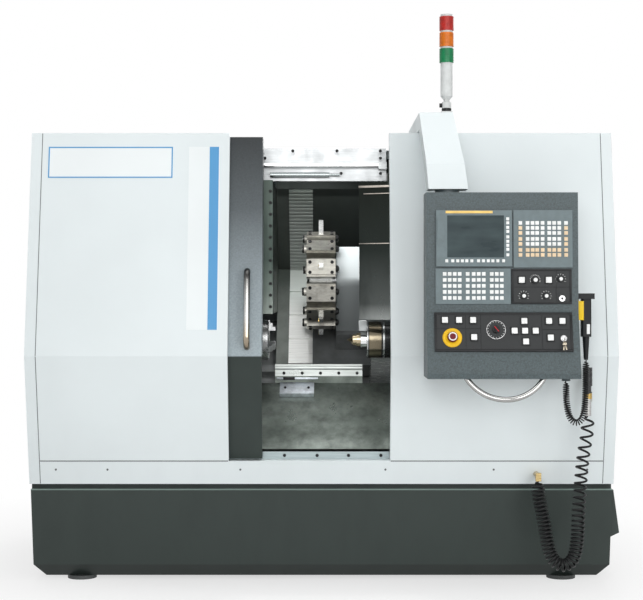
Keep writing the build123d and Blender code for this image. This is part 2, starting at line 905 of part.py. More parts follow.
# Tool holders, one on each flat: turning blocks and bush blocks by turns
station_angles = [station_start + 360 / station_count * number for number in range(station_count)]
disc_middle = (disc_left + disc_right) / 2
holder_span = (disc_middle - holder_x / 2, disc_middle + holder_x / 2)
holder_top = disc_flat_r + holder_h
bush_up = disc_flat_r + holder_h / 2
with BuildPart() as tool_holders:
    for number, angle in enumerate(station_angles):
        with Locations(radial_plane(turret_centre, angle).location):
            shoulder = holder_w / 2 - holder_chamfer
            block(holder_span, (-shoulder, shoulder), (disc_flat_r, holder_top))
            block(holder_span, (-holder_w / 2, holder_w / 2), (disc_flat_r, holder_top - holder_chamfer))
            if number % 2:
                bush_x = holder_span[0] - bush_l / 2
                with Locations(Location((bush_x, 0, bush_up), (0, 90, 0))):
                    Cylinder(bush_r, bush_l)
            else:
                slot_half = shank / 2 + pane_gap
                block((disc_middle - slot_half, disc_middle + slot_half), (-slot_half, slot_half),
                      (holder_top - holder_slot_h, holder_top + overrun), Mode.SUBTRACT)
keep(tool_holders, "tool_holders")

# Cutting tools: square shanks standing out of the slots, bars in the bushes and one tall blade
with BuildPart() as cutting_tools:
    for number, angle in enumerate(station_angles):
        with Locations(radial_plane(turret_centre, angle).location):
            if number % 2:
                bar_x = holder_span[0] - bush_l - bar_tool_l / 2
                with Locations(Location((bar_x, 0, bush_up), (0, 90, 0))):
                    Cylinder(bar_tool_r, bar_tool_l)
            else:
                reach = tall_r if number == tall_number else holder_top + shank_reach
                block((disc_middle - shank / 2, disc_middle + shank / 2), (-shank / 2, shank / 2),
                      (holder_top - holder_slot_h, reach))
keep(cutting_tools, "cutting_tools")

# Tailstock on the lower pair of ways, its quill and the live centre
with BuildPart() as tailstock:
    with Locations(slope.location):
        block(neck_x, neck_v, (saddle_low, neck_high))
        block(neck_x, foot_v, (saddle_low, saddle_low + foot_h))
    with Locations(Location(((barrel_left + barrel_right) / 2, spindle_y, spindle_z), (0, 90, 0))):
        Cylinder(barrel_r, barrel_right - barrel_left)
        Cylinder(quill_r + quill_fit, barrel_right - barrel_left, mode=Mode.SUBTRACT)
keep(tailstock, "tailstock")

with BuildPart() as tailstock_quill:
    quill_profile = [
        (quill_left, centre_shank_r + centre_fit),
        (quill_left, quill_r),
        (quill_right, quill_r),
        (quill_right, 0),
        (quill_left + centre_shank_l + running_gap, 0),
        (quill_left + centre_shank_l + running_gap, centre_shank_r + centre_fit),
    ]
    turned(quill_profile, spindle_plane)
keep(tailstock_quill, "tailstock_quill")

with BuildPart() as live_centre:
    centre_profile = [
        (centre_tip, 0),
        (centre_flare, centre_nose_r),
        (centre_flare + centre_nose_r / 2, centre_r),
        (centre_collar, centre_r),
        (centre_collar, centre_collar_r),
        (quill_left - running_gap, centre_collar_r),
        (quill_left - running_gap, centre_shank_r),
        (quill_left + centre_shank_l, centre_shank_r),
        (quill_left + centre_shank_l, 0),
    ]
    turned(centre_profile, spindle_plane)
keep(live_centre, "live_centre")

# Sliding door: folded leaf with a deep leading return, window pane, bow handle and hangers on the guide rod
with BuildPart() as door_leaf:
    folded_band((door_left, door_right), (door_low, door_high), door_set, door_set + door_t)
    folded_band((door_right - sheet, door_right), (fold_z, door_high), door_set, door_set + door_return)
    folded_band(window_x, window_z, door_set - overrun, door_set + door_t + overrun, Mode.SUBTRACT)
keep(door_leaf, "door_leaf")

with BuildPart() as door_window:
    pane_x = (window_x[0] + pane_gap, window_x[1] - pane_gap)
    pane_z = (window_z[0] + pane_gap, window_z[1] - pane_gap)
    folded_band(pane_x, pane_z, door_set + pane_set, door_set + pane_set + pane_t)
keep(door_window, "door_window")

lean_len = sqrt(top_lean ** 2 + (top_z - fold_z) ** 2)
lean_out = (-(top_z - fold_z) / lean_len * grip_out, top_lean / lean_len * grip_out)
grip_feet = [(front_at(z) + door_set, z) for z in grip_z]
grip_knees = [(y + lean_out[0], z + lean_out[1]) for y, z in grip_feet]
with BuildPart() as door_handle:
    with BuildLine(Plane.YZ.offset(grip_x)) as grip_path:
        FilletPolyline(grip_feet[0], grip_knees[0], grip_knees[1], grip_feet[1], radius=grip_bend)
    with BuildSketch(Plane(grip_path.line @ 0, z_dir=grip_path.line % 0)):
        Circle(grip_r)
    sweep(path=grip_path.line)
keep(door_handle, "door_handle")

hanger_top = rod_z + hanger_half
leaf_back = front_at(hanger_top) + door_set + door_t
with BuildPart() as door_hangers:
    for middle in hanger_x:
        span = (middle - hanger_w / 2, middle + hanger_w / 2)
        block(span, (rod_y - hanger_half, rod_y + hanger_half), (rod_z - hanger_half, hanger_top))
        block(span, (leaf_back, rod_y), (hanger_top - hanger_t, hanger_top))
    with Locations(Location((sum(track_x) / 2, rod_y, rod_z), (0, 90, 0))):
        Cylinder(rod_r + running_gap, track_x[1] - track_x[0], mode=Mode.SUBTRACT)
keep(door_hangers, "door_hangers")

# Pendant arm: a beam over the front cover that bends down to the swivel, wider at its foot
arm_profile = [
    (arm_back, roof_z),
    (arm_back, arm_top),
    (arm_brow, arm_top),
    (arm_front, arm_bend),
    (arm_front, arm_foot),
    (arm_heel, arm_foot),
    (arm_heel, arm_bend),
    (arm_elbow, arm_under),
    (arm_post_y, arm_under),
    (arm_post_y, roof_z),
]
arm_outline = [
    (arm_top_x[0], arm_top),
    (arm_top_x[1], arm_top),
    (arm_foot_x[1], arm_foot),
    (arm_foot_x[0], arm_foot),
]
with BuildPart() as pendant_arm:
    extrude(yz_face(arm_profile, arm_top_x[0]), amount=arm_foot_x[1] - arm_top_x[0])
    extrude(xz_face(arm_outline, arm_back), amount=arm_back - arm_front, mode=Mode.INTERSECT)
keep(pendant_arm, "pendant_arm")

# Beacon: foot, neck, tube and a core that carries three lens rings between separators
beacon_plane = Plane(origin=(beacon_x, beacon_y, 0), x_dir=(0, 0, 1), z_dir=(0, -1, 0))
lens_low = [beacon_tube_z + lens_gap + number * (lens_h + lens_gap) for number in range(lens_count)]
with BuildPart() as beacon_post:
    beacon_profile = [
        (arm_top, 0),
        (arm_top, beacon_neck_r),
        (beacon_neck_z, beacon_neck_r),
        (beacon_taper_z, beacon_tube_r),
        (beacon_tube_z, beacon_tube_r),
    ]
    for low in lens_low:
        beacon_profile += [
            (low, beacon_tube_r),
            (low, beacon_core_r),
            (low + lens_h, beacon_core_r),
            (low + lens_h, beacon_tube_r),
        ]
    beacon_end = lens_low[-1] + lens_h + beacon_cap
    beacon_profile += [(beacon_end, beacon_tube_r), (beacon_end, 0)]
    turned(beacon_profile, beacon_plane)
    with Locations((beacon_x, beacon_y, arm_top + beacon_foot[2] / 2)):
        Box(*beacon_foot)
keep(beacon_post, "beacon_post")

with BuildPart() as beacon_lenses:
    for low in lens_low:
        with Locations((beacon_x, beacon_y, low + lens_h / 2)):
            Cylinder(beacon_r, lens_h)
            Cylinder(beacon_core_r + pane_gap, lens_h, mode=Mode.SUBTRACT)
keep(beacon_lenses, "beacon_lenses")

# Pendant housing: upright upper face, sloped lower face, swivel boss and the cord gland under it
pendant_profile = [
    (pendant_y[0], pendant_top),
    (pendant_y[1], pendant_fold),
    (pendant_y[2], pendant_lip),
    (pendant_y[2], pendant_low),
    (pendant_back[1], pendant_low),
    (pendant_back[0], pendant_top),
]
with BuildPart() as pendant_housing:
    extrude(yz_face(pendant_profile, pendant_x[0]), amount=pendant_x[1] - pendant_x[0])
    with Locations((swivel_x, swivel_y, (pendant_top + arm_foot - running_gap) / 2)):
        Cylinder(swivel_r, arm_foot - running_gap - pendant_top)
    gland_z = coil_route[0][2]
    with Locations((coil_route[0][0], coil_route[0][1], (gland_z + pendant_low) / 2)):
        Cylinder(gland_r, pendant_low - gland_z)
keep(pendant_housing, "pendant_housing")


def face_plane(upper, lower):
    """Plane on a pendant face that rises from a lower to an upper (y, z) edge, its origin on the fold."""
    rise = (upper[0] - lower[0], upper[1] - lower[1])
    return Plane(origin=(0, pendant_y[1], pendant_fold), x_dir=(1, 0, 0), z_dir=(0, -rise[1], rise[0]))


upper_face = face_plane((pendant_y[0], pendant_top), (pendant_y[1], pendant_fold))
lower_face = face_plane((pendant_y[1], pendant_fold), (pendant_y[2], pendant_lip))


def keys(columns, rows, size, base):
    """Square key caps on a slab, at pixel columns and rows."""
    with Locations(*[px_point((column, row), base + key_h / 2) for column in columns for row in rows]):
        Box(size, size, key_h)


# Display unit with soft keys along two sides, a card cover and the sunk screen
with BuildPart(upper_face) as display_unit:
    px_box(display_px, 0, display_t)
    px_box(screen_px, display_t - screen_sink, display_t + overrun, Mode.SUBTRACT)
    px_box(card_px, display_t, display_t + key_h)
    keys(display_columns_px, (display_keys_px,), small_key, display_t)
    keys((side_keys_px,), side_rows_px, small_key, display_t)
keep(display_unit, "display_unit")

with BuildPart(upper_face) as display_screen:
    left, right, top, bottom = screen_px
    screen_x = (px_x(left) + screen_gap, px_x(right) - screen_gap)
    screen_up = (px_up(bottom) + screen_gap, px_up(top) - screen_gap)
    block(screen_x, screen_up, (display_t - screen_sink, display_t - screen_sink / 2))
keep(display_screen, "display_screen")

# Membrane keypads: the data pad beside the screen and the operator pad under it
with BuildPart(upper_face) as keypads:
    px_box(data_px, 0, keypad_t)
    keys(data_columns_px, data_rows_px, key_size, keypad_t)
    px_box(operator_px, 0, keypad_t)
    keys(operator_columns_px, operator_rows_px, key_size, keypad_t)
keep(keypads, "keypads")


def post(place, radius, low, high, mode=Mode.ADD):
    """Round post on a pendant face at a pixel, between two heights above that face."""
    with Locations(px_point(place, (low + high) / 2)):
        Cylinder(radius, high - low, mode=mode)


def square_cap(place, size, low, high, mode=Mode.ADD):
    """Square block on a pendant face at a pixel, between two heights above that face."""
    with Locations(px_point(place, (low + high) / 2)):
        Box(size, size, high - low, mode=mode)


plate_top = panel_t + dial_h
ring_top = panel_t + stop_ring_h

# Switch panels: the upper one with its dials, the lower one with fixed caps, wells and bezels
with BuildPart(upper_face) as upper_panel:
    px_box(upper_px, 0, panel_t)
    for place in upper_squares_px:
        square_cap(place, square, panel_t, panel_t + square_h)
    for place in knob_px + (upper_key_px,):
        post(place, knob_r, panel_t, panel_t + knob_h)
    post(feed_px, spindle_stub_r + spindle_fit, face_sink, panel_t + overrun, Mode.SUBTRACT)

with BuildPart(lower_face) as lower_panel:
    px_box(lower_px, 0, panel_t)
    for place in lower_squares_px:
        square_cap(place, square, panel_t, panel_t + square_h)
    post(stop_px, stop_ring_r, panel_t, ring_top)
    post(mode_px, mode_r, panel_t, plate_top)
    post(stop_px, stop_stem_r + running_gap, face_sink, ring_top + overrun, Mode.SUBTRACT)
    post(mode_px, spindle_stub_r + spindle_fit, face_sink, plate_top + overrun, Mode.SUBTRACT)
    post(key_px, spindle_stub_r + spindle_fit, face_sink, panel_t + overrun, Mode.SUBTRACT)
    for place in (start_px, hold_px):
        square_cap(place, square + well_play, panel_t - well_depth, panel_t + overrun, Mode.SUBTRACT)

with BuildPart() as switch_panels:
    add(upper_panel.part)
    add(lower_panel.part)
keep(switch_panels, "switch_panels")

# Controls that move: two push caps, the mushroom stop button, two dials and the key switch
cap_low = panel_t - well_depth + press_travel + running_gap
for place, label in ((start_px, "cycle_start_button"), (hold_px, "feed_hold_button")):
    with BuildPart(lower_face) as push_cap:
        square_cap(place, square, cap_low, panel_t + square_h)
    keep(push_cap, label)

stop_cap_low = ring_top + stop_travel + face_sink
with BuildPart(lower_face) as emergency_stop:
    post(stop_px, stop_stem_r, face_sink + stop_travel + running_gap, stop_cap_low)
    post(stop_px, stop_cap_r, stop_cap_low, stop_cap_low + stop_cap_h)
    fillet(emergency_stop.faces().sort_by(Axis.Y)[0].edges(), stop_cap_h / 2)
keep(emergency_stop, "emergency_stop")

with BuildPart(lower_face) as mode_dial:
    knob_low = plate_top + running_gap
    post(mode_px, spindle_stub_r, face_sink + running_gap, knob_low)
    post(mode_px, mode_knob_r, knob_low, knob_low + mode_knob_h / 2)
    with Locations(px_point(mode_px, knob_low + mode_knob_h * grip_up_share)):
        Box(mode_grip, mode_grip_l, mode_knob_h / 2)
keep(mode_dial, "mode_dial")

with BuildPart(upper_face) as feed_dial:
    post(feed_px, spindle_stub_r, face_sink + running_gap, panel_t + running_gap)
    post(feed_px, feed_r, panel_t + running_gap, panel_t + running_gap + feed_h)
keep(feed_dial, "feed_dial")

with BuildPart(lower_face) as key_switch:
    lock_low = panel_t + running_gap
    post(key_px, spindle_stub_r, face_sink + running_gap, lock_low)
    post(key_px, key_r, lock_low, lock_low + key_body_h)
    with Locations(px_point(key_px, lock_low + key_body_h + key_blade[2] / 2)):
        Box(*key_blade)
keep(key_switch, "key_switch")

# Handle bar under the pendant: a round bow, cut level with the underside
bar_x = [px_x(pixel) for pixel in bar_px]
bar_top = pendant_low + bar_over
bar_middle = (sum(bar_x) / 2, bar_y - bar_out, pendant_low - bar_drop)
with BuildPart() as pendant_handle:
    with BuildLine() as bar_path:
        ThreePointArc((bar_x[0], bar_y, bar_top), bar_middle, (bar_x[1], bar_y, bar_top))
    with BuildSketch(Plane(bar_path.line @ 0, z_dir=bar_path.line % 0)):
        Circle(bar_tube_r)
    sweep(path=bar_path.line)
    block(pendant_x, (pendant_y[2], pendant_back[1]), (pendant_low, bar_top + overrun), Mode.SUBTRACT)
keep(pendant_handle, "pendant_handle")

# Handheld unit: flange hooked on the pendant's flank, body and tapered strain relief; its lever apart
hand_top = hand_z[1] + hand_flange[2]
with BuildPart() as handheld_unit:
    block((hand_x - hand_w / 2, hand_x + hand_w / 2), (hand_y - hand_d / 2, hand_y + hand_d / 2), hand_z)
    fillet(handheld_unit.edges().filter_by(Axis.Z), hand_round)
    flange_x = (pendant_x[1], pendant_x[1] + hand_flange[0])
    block(flange_x, (hand_y - hand_flange[1] / 2, hand_y + hand_flange[1] / 2), (hand_z[1], hand_top))
    relief_plane = Plane(origin=(hand_x, hand_y, 0), x_dir=(0, 0, 1), z_dir=(0, -1, 0))
    relief_end = coil_route[-1][2]
    relief = [(hand_z[0], 0), (hand_z[0], relief_r[0]), (relief_end, relief_r[1]), (relief_end, 0)]
    turned(relief, relief_plane)
keep(handheld_unit, "handheld_unit")

with BuildPart() as handheld_lever:
    lever_y = (hand_y - lever_d / 2, hand_y + lever_d / 2)
    block((lever_x, lever_x + lever_t), lever_y, (lever_low, hand_z[1] - lever_gap))
    fillet(handheld_lever.edges().filter_by(Axis.Y).sort_by(Axis.Z)[:2], lever_t / 3)
keep(handheld_lever, "handheld_lever")


def corner_radii(route):
    """Arc at each corner of a cord's route, as large as its two runs allow."""
    points = [Vector(*point) for point in route]
    radii = []
    for before, corner, after in zip(points, points[1:], points[2:]):
        run_in = corner - before
        run_out = after - corner
        half_turn = radians(run_in.get_angle(run_out)) / 2
        radii.append(run_share * min(run_in.length, run_out.length) / tan(half_turn))
    return radii


def cord_tube(route, radius, label):
    """Plain tube of straight runs and tangent arcs along a route."""
    radii = corner_radii(route)
    print(label, "radii", [round(value) for value in radii])
    with BuildPart() as tube:
        with BuildLine() as path:
            FilletPolyline(*route, radius=radii)
        with BuildSketch(Plane(path.line @ 0, z_dir=path.line % 0)):
            Circle(radius)
        sweep(path=path.line)
    print(label, "length", round(path.wire().length), "volume", round(tube.part.volume),
          "section times length", round(path.wire().length * radius ** 2 * pi))
    keep(tube, label)


cord_tube(coil_route, coil_r, "coil_cord")
cord_tube(hose_route, hose_r, "air_hose")

# Air fitting through the skirt, and the coupler that hangs on its pin in the front cover
hose_start = hose_route[0]
with BuildPart() as air_fitting:
    fit_back = front_at(hose_fit[1]) + fitting_l
    elbow_x = (hose_start[0] - fitting_r, hose_start[0] + fitting_r)
    elbow_y = (hose_start[1] - fitting_r, hose_start[1] + fitting_r)
    block(elbow_x, elbow_y, (hose_start[2], hose_fit[1] + fitting_r))
    with Locations(Location((hose_start[0], (fit_back + hose_start[1]) / 2, hose_fit[1]), (90, 0, 0))):
        Cylinder(fitting_r, fit_back - hose_start[1])
keep(air_fitting, "air_fitting")

hose_end = hose_route[-1]
coupler_plane = Plane(origin=(hose_end[0], hose_end[1], 0), x_dir=(0, 0, 1), z_dir=(0, -1, 0))
with BuildPart() as air_coupler:
    coupler_l = coupler_high - hose_end[2]
    coupler_profile = [(hose_end[2], 0)]
    for radius, low, high in zip(coupler_r, coupler_z_shares, coupler_z_shares[1:]):
        coupler_profile += [(hose_end[2] + coupler_l * low, radius), (hose_end[2] + coupler_l * high, radius)]
    coupler_profile.append((coupler_high, 0))
    turned(coupler_profile, coupler_plane)
    pin_back = front_at(hook_z) + hook_in
    with Locations(Location((hose_end[0], (pin_back + hose_end[1]) / 2, hook_z), (90, 0, 0))):
        Cylinder(hook_r, pin_back - hose_end[1])
keep(air_coupler, "air_coupler")
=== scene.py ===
"""Looks of a slant bed turning lathe: finishes, bolts, caps, plates, cords, stage and camera."""
from functools import cache
from math import cos, pi, radians, sin, sqrt

import bmesh
import bpy
from bpy.props import FloatProperty, FloatVectorProperty, IntProperty, PointerProperty
from mathutils import Matrix, Vector


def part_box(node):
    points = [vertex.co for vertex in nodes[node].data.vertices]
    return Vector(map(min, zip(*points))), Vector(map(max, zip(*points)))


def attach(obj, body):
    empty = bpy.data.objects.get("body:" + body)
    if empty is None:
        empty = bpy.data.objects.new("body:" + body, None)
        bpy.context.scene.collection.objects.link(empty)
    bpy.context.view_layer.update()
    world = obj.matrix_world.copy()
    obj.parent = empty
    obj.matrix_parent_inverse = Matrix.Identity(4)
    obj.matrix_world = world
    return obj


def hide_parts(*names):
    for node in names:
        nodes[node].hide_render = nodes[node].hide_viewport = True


bl_info = {
    "name": "Turning lathe looks",
    "version": (1, 0, 0),
    "blender": (4, 5, 0),
    "location": "View3D > Sidebar > Lathe",
    "description": "Dresses the packed turning lathe with finishes, fittings and cords",
    "category": "Object",
}

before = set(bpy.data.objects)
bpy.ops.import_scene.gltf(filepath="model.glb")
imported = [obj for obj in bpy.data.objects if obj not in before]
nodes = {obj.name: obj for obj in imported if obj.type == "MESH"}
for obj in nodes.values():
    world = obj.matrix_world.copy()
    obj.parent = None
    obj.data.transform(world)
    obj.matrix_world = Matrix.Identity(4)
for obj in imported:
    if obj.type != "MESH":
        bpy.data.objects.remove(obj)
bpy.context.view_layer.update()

sharp_angle = 0.6
chamber_foot, chamber_top = 0.9, 1.67
spindle_axis = (0, -0.35, 0.986)
front_fold = (-0.8, 0.935)
front_rise = {"upper": (0.166, 0.91), "lower": (-0.113, 0.525)}
view_centre, pendant_fold_row, pendant_pixel = 322, 311, 0.00386
pendant_fold = (-1.01, 1.119)
pendant_rise = {"upper": (0.015, 0.459), "lower": (0.065, 0.239)}


def colour_value(label, words, default):
    """Colour property, in linear light."""
    return FloatVectorProperty(name=label, description=words, default=default, size=3, min=0, max=1,
                               subtype="COLOR")


def length_value(label, words, default):
    """Length property in metres."""
    return FloatProperty(name=label, description=words, default=default, min=0, unit="LENGTH", precision=4)


class LatheColours(bpy.types.PropertyGroup):
    """Colours of the lathe's main finishes."""
    panel: colour_value("Panel", "Pale powder coat of the covers", (0.71, 0.765, 0.775))
    base: colour_value("Base", "Charcoal powder coat of the base", (0.034, 0.045, 0.041))
    door: colour_value("Door", "Hammered grey of the door's upper half", (0.115, 0.135, 0.145))
    pendant: colour_value("Pendant", "Hammered slate of the control pendant", (0.052, 0.072, 0.077))
    trim: colour_value("Trim", "Blue of the bare plates' outline and band", (0.09, 0.31, 0.58))


class LatheSizes(bpy.types.PropertyGroup):
    """Sizes of the small fittings."""
    bolt_r: length_value("Bolt radius", "Radius of the strip bolts' heads", 0.0066)
    bolt_h: length_value("Bolt height", "Height of the strip bolts' heads", 0.005)
    key_cap: length_value("Key cap", "Side of a keypad cap", 0.0142)
    soft_cap: length_value("Soft key cap", "Side of a cap beside the display", 0.0115)
    push_cap: length_value("Push cap", "Side of a square push cap", 0.0228)
    lens_ribs: IntProperty(name="Lens ribs", description="Ribs round each beacon lens", default=9, min=2)
    cord_wire: length_value("Cord wire", "Diameter of the handheld unit's cord", 0.005)
    cord_pitch: length_value("Cord pitch", "Advance of one curl of that cord", 0.0085)
    hose_wire: length_value("Hose wire", "Diameter of the air hose", 0.009)
    hose_pitch: length_value("Hose pitch", "Advance of one tight curl of the hose", 0.0155)
    hose_spread: length_value("Hose spread", "Advance of one curl where the hose is pulled apart", 0.042)


class Finish:
    """Builds one procedural material on Object coordinates."""

    def __init__(self, name, colour, roughness, metallic=0.0, **sockets):
        self.material = bpy.data.materials.new(name)
        self.material.use_nodes = True
        self.tree = self.material.node_tree
        self.shader = self.tree.nodes["Principled BSDF"]
        self.set("Base Color", (*colour, 1))
        self.set("Roughness", roughness)
        self.set("Metallic", metallic)
        for socket, value in sockets.items():
            self.set(socket.replace("_", " "), value)
        self.place = self.node("ShaderNodeTexCoord").outputs["Object"]

    def set(self, socket, value):
        """Constant on the shader's own socket."""
        self.shader.inputs[socket].default_value = value

    def node(self, kind, **settings):
        """New node with its settings."""
        made = self.tree.nodes.new(kind)
        for key, value in settings.items():
            setattr(made, key, value)
        return made

    def link(self, output, target):
        """Joins an output to a socket."""
        self.tree.links.new(output, target)

    def mapped(self, stretch, centre=(0, 0, 0)):
        """Object coordinates, taken from a centre and stretched."""
        moved = self.node("ShaderNodeMapping", vector_type="TEXTURE")
        moved.inputs["Location"].default_value = centre
        self.link(self.place, moved.inputs["Vector"])
        scaled = self.node("ShaderNodeMapping")
        scaled.inputs["Scale"].default_value = stretch
        self.link(moved.outputs["Vector"], scaled.inputs["Vector"])
        return scaled.outputs["Vector"]

    def noise(self, scale, stretch=(1, 1, 1), detail=2.0, rough=0.5):
        """Noise from 0 to 1."""
        made = self.node("ShaderNodeTexNoise")
        made.inputs["Scale"].default_value = scale
        made.inputs["Detail"].default_value = detail
        made.inputs["Roughness"].default_value = rough
        self.link(self.mapped(stretch), made.inputs["Vector"])
        return made.outputs["Fac"]

    def cells(self, scale):
        """Cell pattern for hammered paint."""
        made = self.node("ShaderNodeTexVoronoi", feature="SMOOTH_F1")
        made.inputs["Scale"].default_value = scale
        self.link(self.place, made.inputs["Vector"])
        return made.outputs["Distance"]

    def axis(self, name):
        """One coordinate in metres."""
        split = self.node("ShaderNodeSeparateXYZ")
        self.link(self.place, split.inputs[0])
        return split.outputs[name]

    def level(self, low, high):
        """Share of the way up from one height to another, from 0 to 1."""
        return self.span(self.axis("Z"), (low, high), (0, 1))

    def radius(self, centre):
        """Distance from a line along X through a point."""
        length = self.node("ShaderNodeVectorMath", operation="LENGTH")
        self.link(self.mapped((0, 1, 1), centre), length.inputs[0])
        return length.outputs["Value"]

    def math(self, kind, first, second):
        """Maths on two outputs."""
        made = self.node("ShaderNodeMath", operation=kind)
        self.link(first, made.inputs[0])
        self.link(second, made.inputs[1])
        return made.outputs[0]

    def span(self, value, source, target):
        """Maps a range to another, held at its ends."""
        made = self.node("ShaderNodeMapRange")
        for socket, number in zip(made.inputs[1:5], (*source, *target)):
            socket.default_value = number
        self.link(value, made.inputs[0])
        return made.outputs[0]

    def ramp(self, value, stops, kind="LINEAR"):
        """Colour ramp over a value."""
        made = self.node("ShaderNodeValToRGB")
        made.color_ramp.interpolation = kind
        while len(made.color_ramp.elements) < len(stops):
            made.color_ramp.elements.new(1)
        for element, (place, colour) in zip(made.color_ramp.elements, stops):
            element.position = place
            element.color = (*colour, 1)
        self.link(value, made.inputs[0])
        return made.outputs["Color"]

    def between(self, pattern, first, second):
        """Two colours mixed by a noise pattern."""
        return self.ramp(pattern, [(0.3, first), (0.7, second)])

    def tones(self, pattern, colour, dark, light):
        """Two shades of a colour mixed by a noise pattern."""
        return self.between(pattern, shade(colour, dark), shade(colour, light))

    def blend(self, factor, first, second, kind="MIX"):
        """Mix of two colours by a factor."""
        made = self.node("ShaderNodeMix", data_type="RGBA", blend_type=kind)
        for socket, value in zip((made.inputs[0], made.inputs[6], made.inputs[7]), (factor, first, second)):
            if hasattr(value, "node"):
                self.link(value, socket)
            else:
                socket.default_value = (*value, 1) if isinstance(value, tuple) else value
        return made.outputs[2]

    def stained(self, clean, pattern, reach, most, stain):
        """Clean colour with a stain over it, from none to most over the pattern's reach."""
        return self.blend(self.span(pattern, reach, (0, most)), clean, stain)

    def colour(self, output):
        """Drives the base colour."""
        self.link(output, self.shader.inputs["Base Color"])

    def rough(self, value, low, high):
        """Drives the roughness between two values."""
        self.link(self.span(value, (0.3, 0.7), (low, high)), self.shader.inputs["Roughness"])

    def bump(self, height, strength, distance):
        """Adds a bump to the normal."""
        made = self.node("ShaderNodeBump")
        made.inputs["Strength"].default_value = strength
        made.inputs["Distance"].default_value = distance
        self.link(height, made.inputs["Height"])
        before = self.shader.inputs["Normal"].links
        if before:
            self.link(before[0].from_socket, made.inputs["Normal"])
        self.link(made.outputs["Normal"], self.shader.inputs["Normal"])


def shade(colour, share):
    """Colour made darker or lighter by a share."""
    return tuple(min(1, channel * share) for channel in colour)


def coat_grain(made, colour, grain):
    """Fine grain of a powder coat; gives its slow shade changes and its smudges."""
    clean = made.tones(made.noise(2.2, detail=3), colour, 0.965, 1.02)
    smudge = made.noise(9, (1, 1, 0.35), detail=5, rough=0.6)
    made.rough(smudge, 0.36, 0.52)
    made.bump(made.noise(grain, detail=1), 0.12, 0.0004)
    return clean, smudge


def powder_coat(name, colour, grain, grime, gleam=0.3):
    """Textured powder coat with a little grime low down."""
    grime_foot, grime_top = 0.05, 0.75
    made = Finish(name, colour, 0.45, Specular_IOR_Level=gleam)
    clean, smudge = coat_grain(made, colour, grain)
    low = made.span(made.axis("Z"), (grime_foot, grime_top), (grime, 0))
    made.colour(made.blend(made.math("MULTIPLY", smudge, low), clean, shade(colour, 0.55)))
    return made.material


def base_coat(colour):
    """Base finish: powder coat with painted shade on the toe and a painted highlight along the ledge's edge
    under the covers.
    """
    toe, ledge, grain = 0.066, 0.385, 700
    made = Finish("base_coat", colour, 0.45, Specular_IOR_Level=0.3)
    clean, smudge = coat_grain(made, colour, grain)
    grimy = made.stained(clean, smudge, (0.45, 0.8), 0.25, shade(colour, 0.55))
    height = made.axis("Z")
    # Painted shade: the toe below its fold is darker.
    plain = made.blend(made.span(height, (toe - 0.001, toe + 0.001), (1, 0)), grimy, shade(colour, 0.62))
    # Painted highlight: a pale band just under the ledge's top edge.
    ledge_highlight = made.math("MULTIPLY", made.span(height, (ledge - 0.0045, ledge - 0.003), (0, 1)),
                     made.span(height, (ledge + 0.0003, ledge + 0.0006), (1, 0)))
    made.colour(made.blend(ledge_highlight, plain, shade(colour, 6)))
    return made.material


def hammered(name, colour, cell, fleck):
    """Hammered paint: pits and pale flecks."""
    made = Finish(name, colour, 0.45, Specular_IOR_Level=0.35)
    pits = made.cells(cell)
    flecks = made.noise(cell * 1.7, detail=3, rough=0.65)
    pitted = made.ramp(pits, [(0.1, shade(colour, 1.25)), (0.75, shade(colour, 0.72))])
    made.colour(made.stained(pitted, flecks, (0.52, 0.72), fleck, shade(colour, 2.6)))
    made.rough(flecks, 0.3, 0.5)
    made.bump(pits, 0.35, 0.0012)
    return made.material


def door_coat(colour, base):
    """Door finish: hammered grey above the fold under a painted reflection that grows lighter down towards
    the fold, and plain charcoal below.
    """
    fold_low, fold_high, reflection_low, reflection_high = 0.93, 0.936, 0.95, 1.85
    made = Finish("door_coat", colour, 0.42, Specular_IOR_Level=0.25)
    flecks = made.noise(150, detail=3, rough=0.65)
    # Painted reflection: lighter near the fold, dark at the top of the door.
    tone = made.ramp(made.level(reflection_low, reflection_high), [(0, shade(colour, 3.1)), (0.3, shade(colour, 2.5)),
                                                   (0.65, shade(colour, 0.8)), (1, shade(colour, 0.22))])
    speckle = made.ramp(flecks, [(0.35, (0.78, 0.78, 0.78)), (0.7, (1, 1, 1))])
    mottled = made.blend(1.0, tone, speckle, "MULTIPLY")
    plain = made.tones(made.noise(6, detail=3), base, 0.85, 1.05)
    upper = made.level(fold_low, fold_high)
    made.colour(made.blend(upper, plain, mottled))
    made.rough(flecks, 0.34, 0.52)
    made.bump(made.math("MULTIPLY", made.cells(85), upper), 0.3, 0.001)
    made.bump(made.noise(1400, detail=1), 0.08, 0.0003)
    return made.material


def brushed(name, colour, roughness, stretch, stain=0.0):
    """Brushed sheet: long fine streaks and, where asked, coolant stains."""
    made = Finish(name, colour, roughness, 0.9)
    streaks = made.noise(1, stretch, detail=4, rough=0.6)
    blots = made.noise(14, detail=6, rough=0.7)
    tone = made.tones(streaks, colour, 0.82, 1.12)
    made.colour(made.stained(tone, blots, (0.45, 0.62), stain, shade(colour, 0.35)))
    made.rough(blots, roughness - 0.06, roughness + 0.12)
    made.bump(streaks, 0.1, 0.0004)
    return made.material


def way_sheet():
    """Way cover: painted light, pale at its foot, and painted shade, darker up the leaning wall, with wiped
    streaks along the ribs.
    """
    made = Finish("way_sheet", (0.6, 0.62, 0.6), 0.34, 0.2)
    # Painted light and shade by height: pale at the foot, dark at the top.
    tone = made.ramp(made.level(chamber_foot, chamber_top), [
        (0, (0.96, 0.965, 0.94)), (0.22, (0.94, 0.95, 0.92)), (0.36, (0.52, 0.56, 0.53)),
        (0.47, (0.38, 0.41, 0.385)), (1, (0.05, 0.06, 0.052))])
    streaks = made.noise(1, (5, 120, 120), detail=4, rough=0.6)
    made.colour(made.stained(tone, streaks, (0.4, 0.75), 0.14, (0.2, 0.21, 0.2)))
    made.rough(streaks, 0.26, 0.44)
    made.bump(streaks, 0.08, 0.0004)
    return made.material


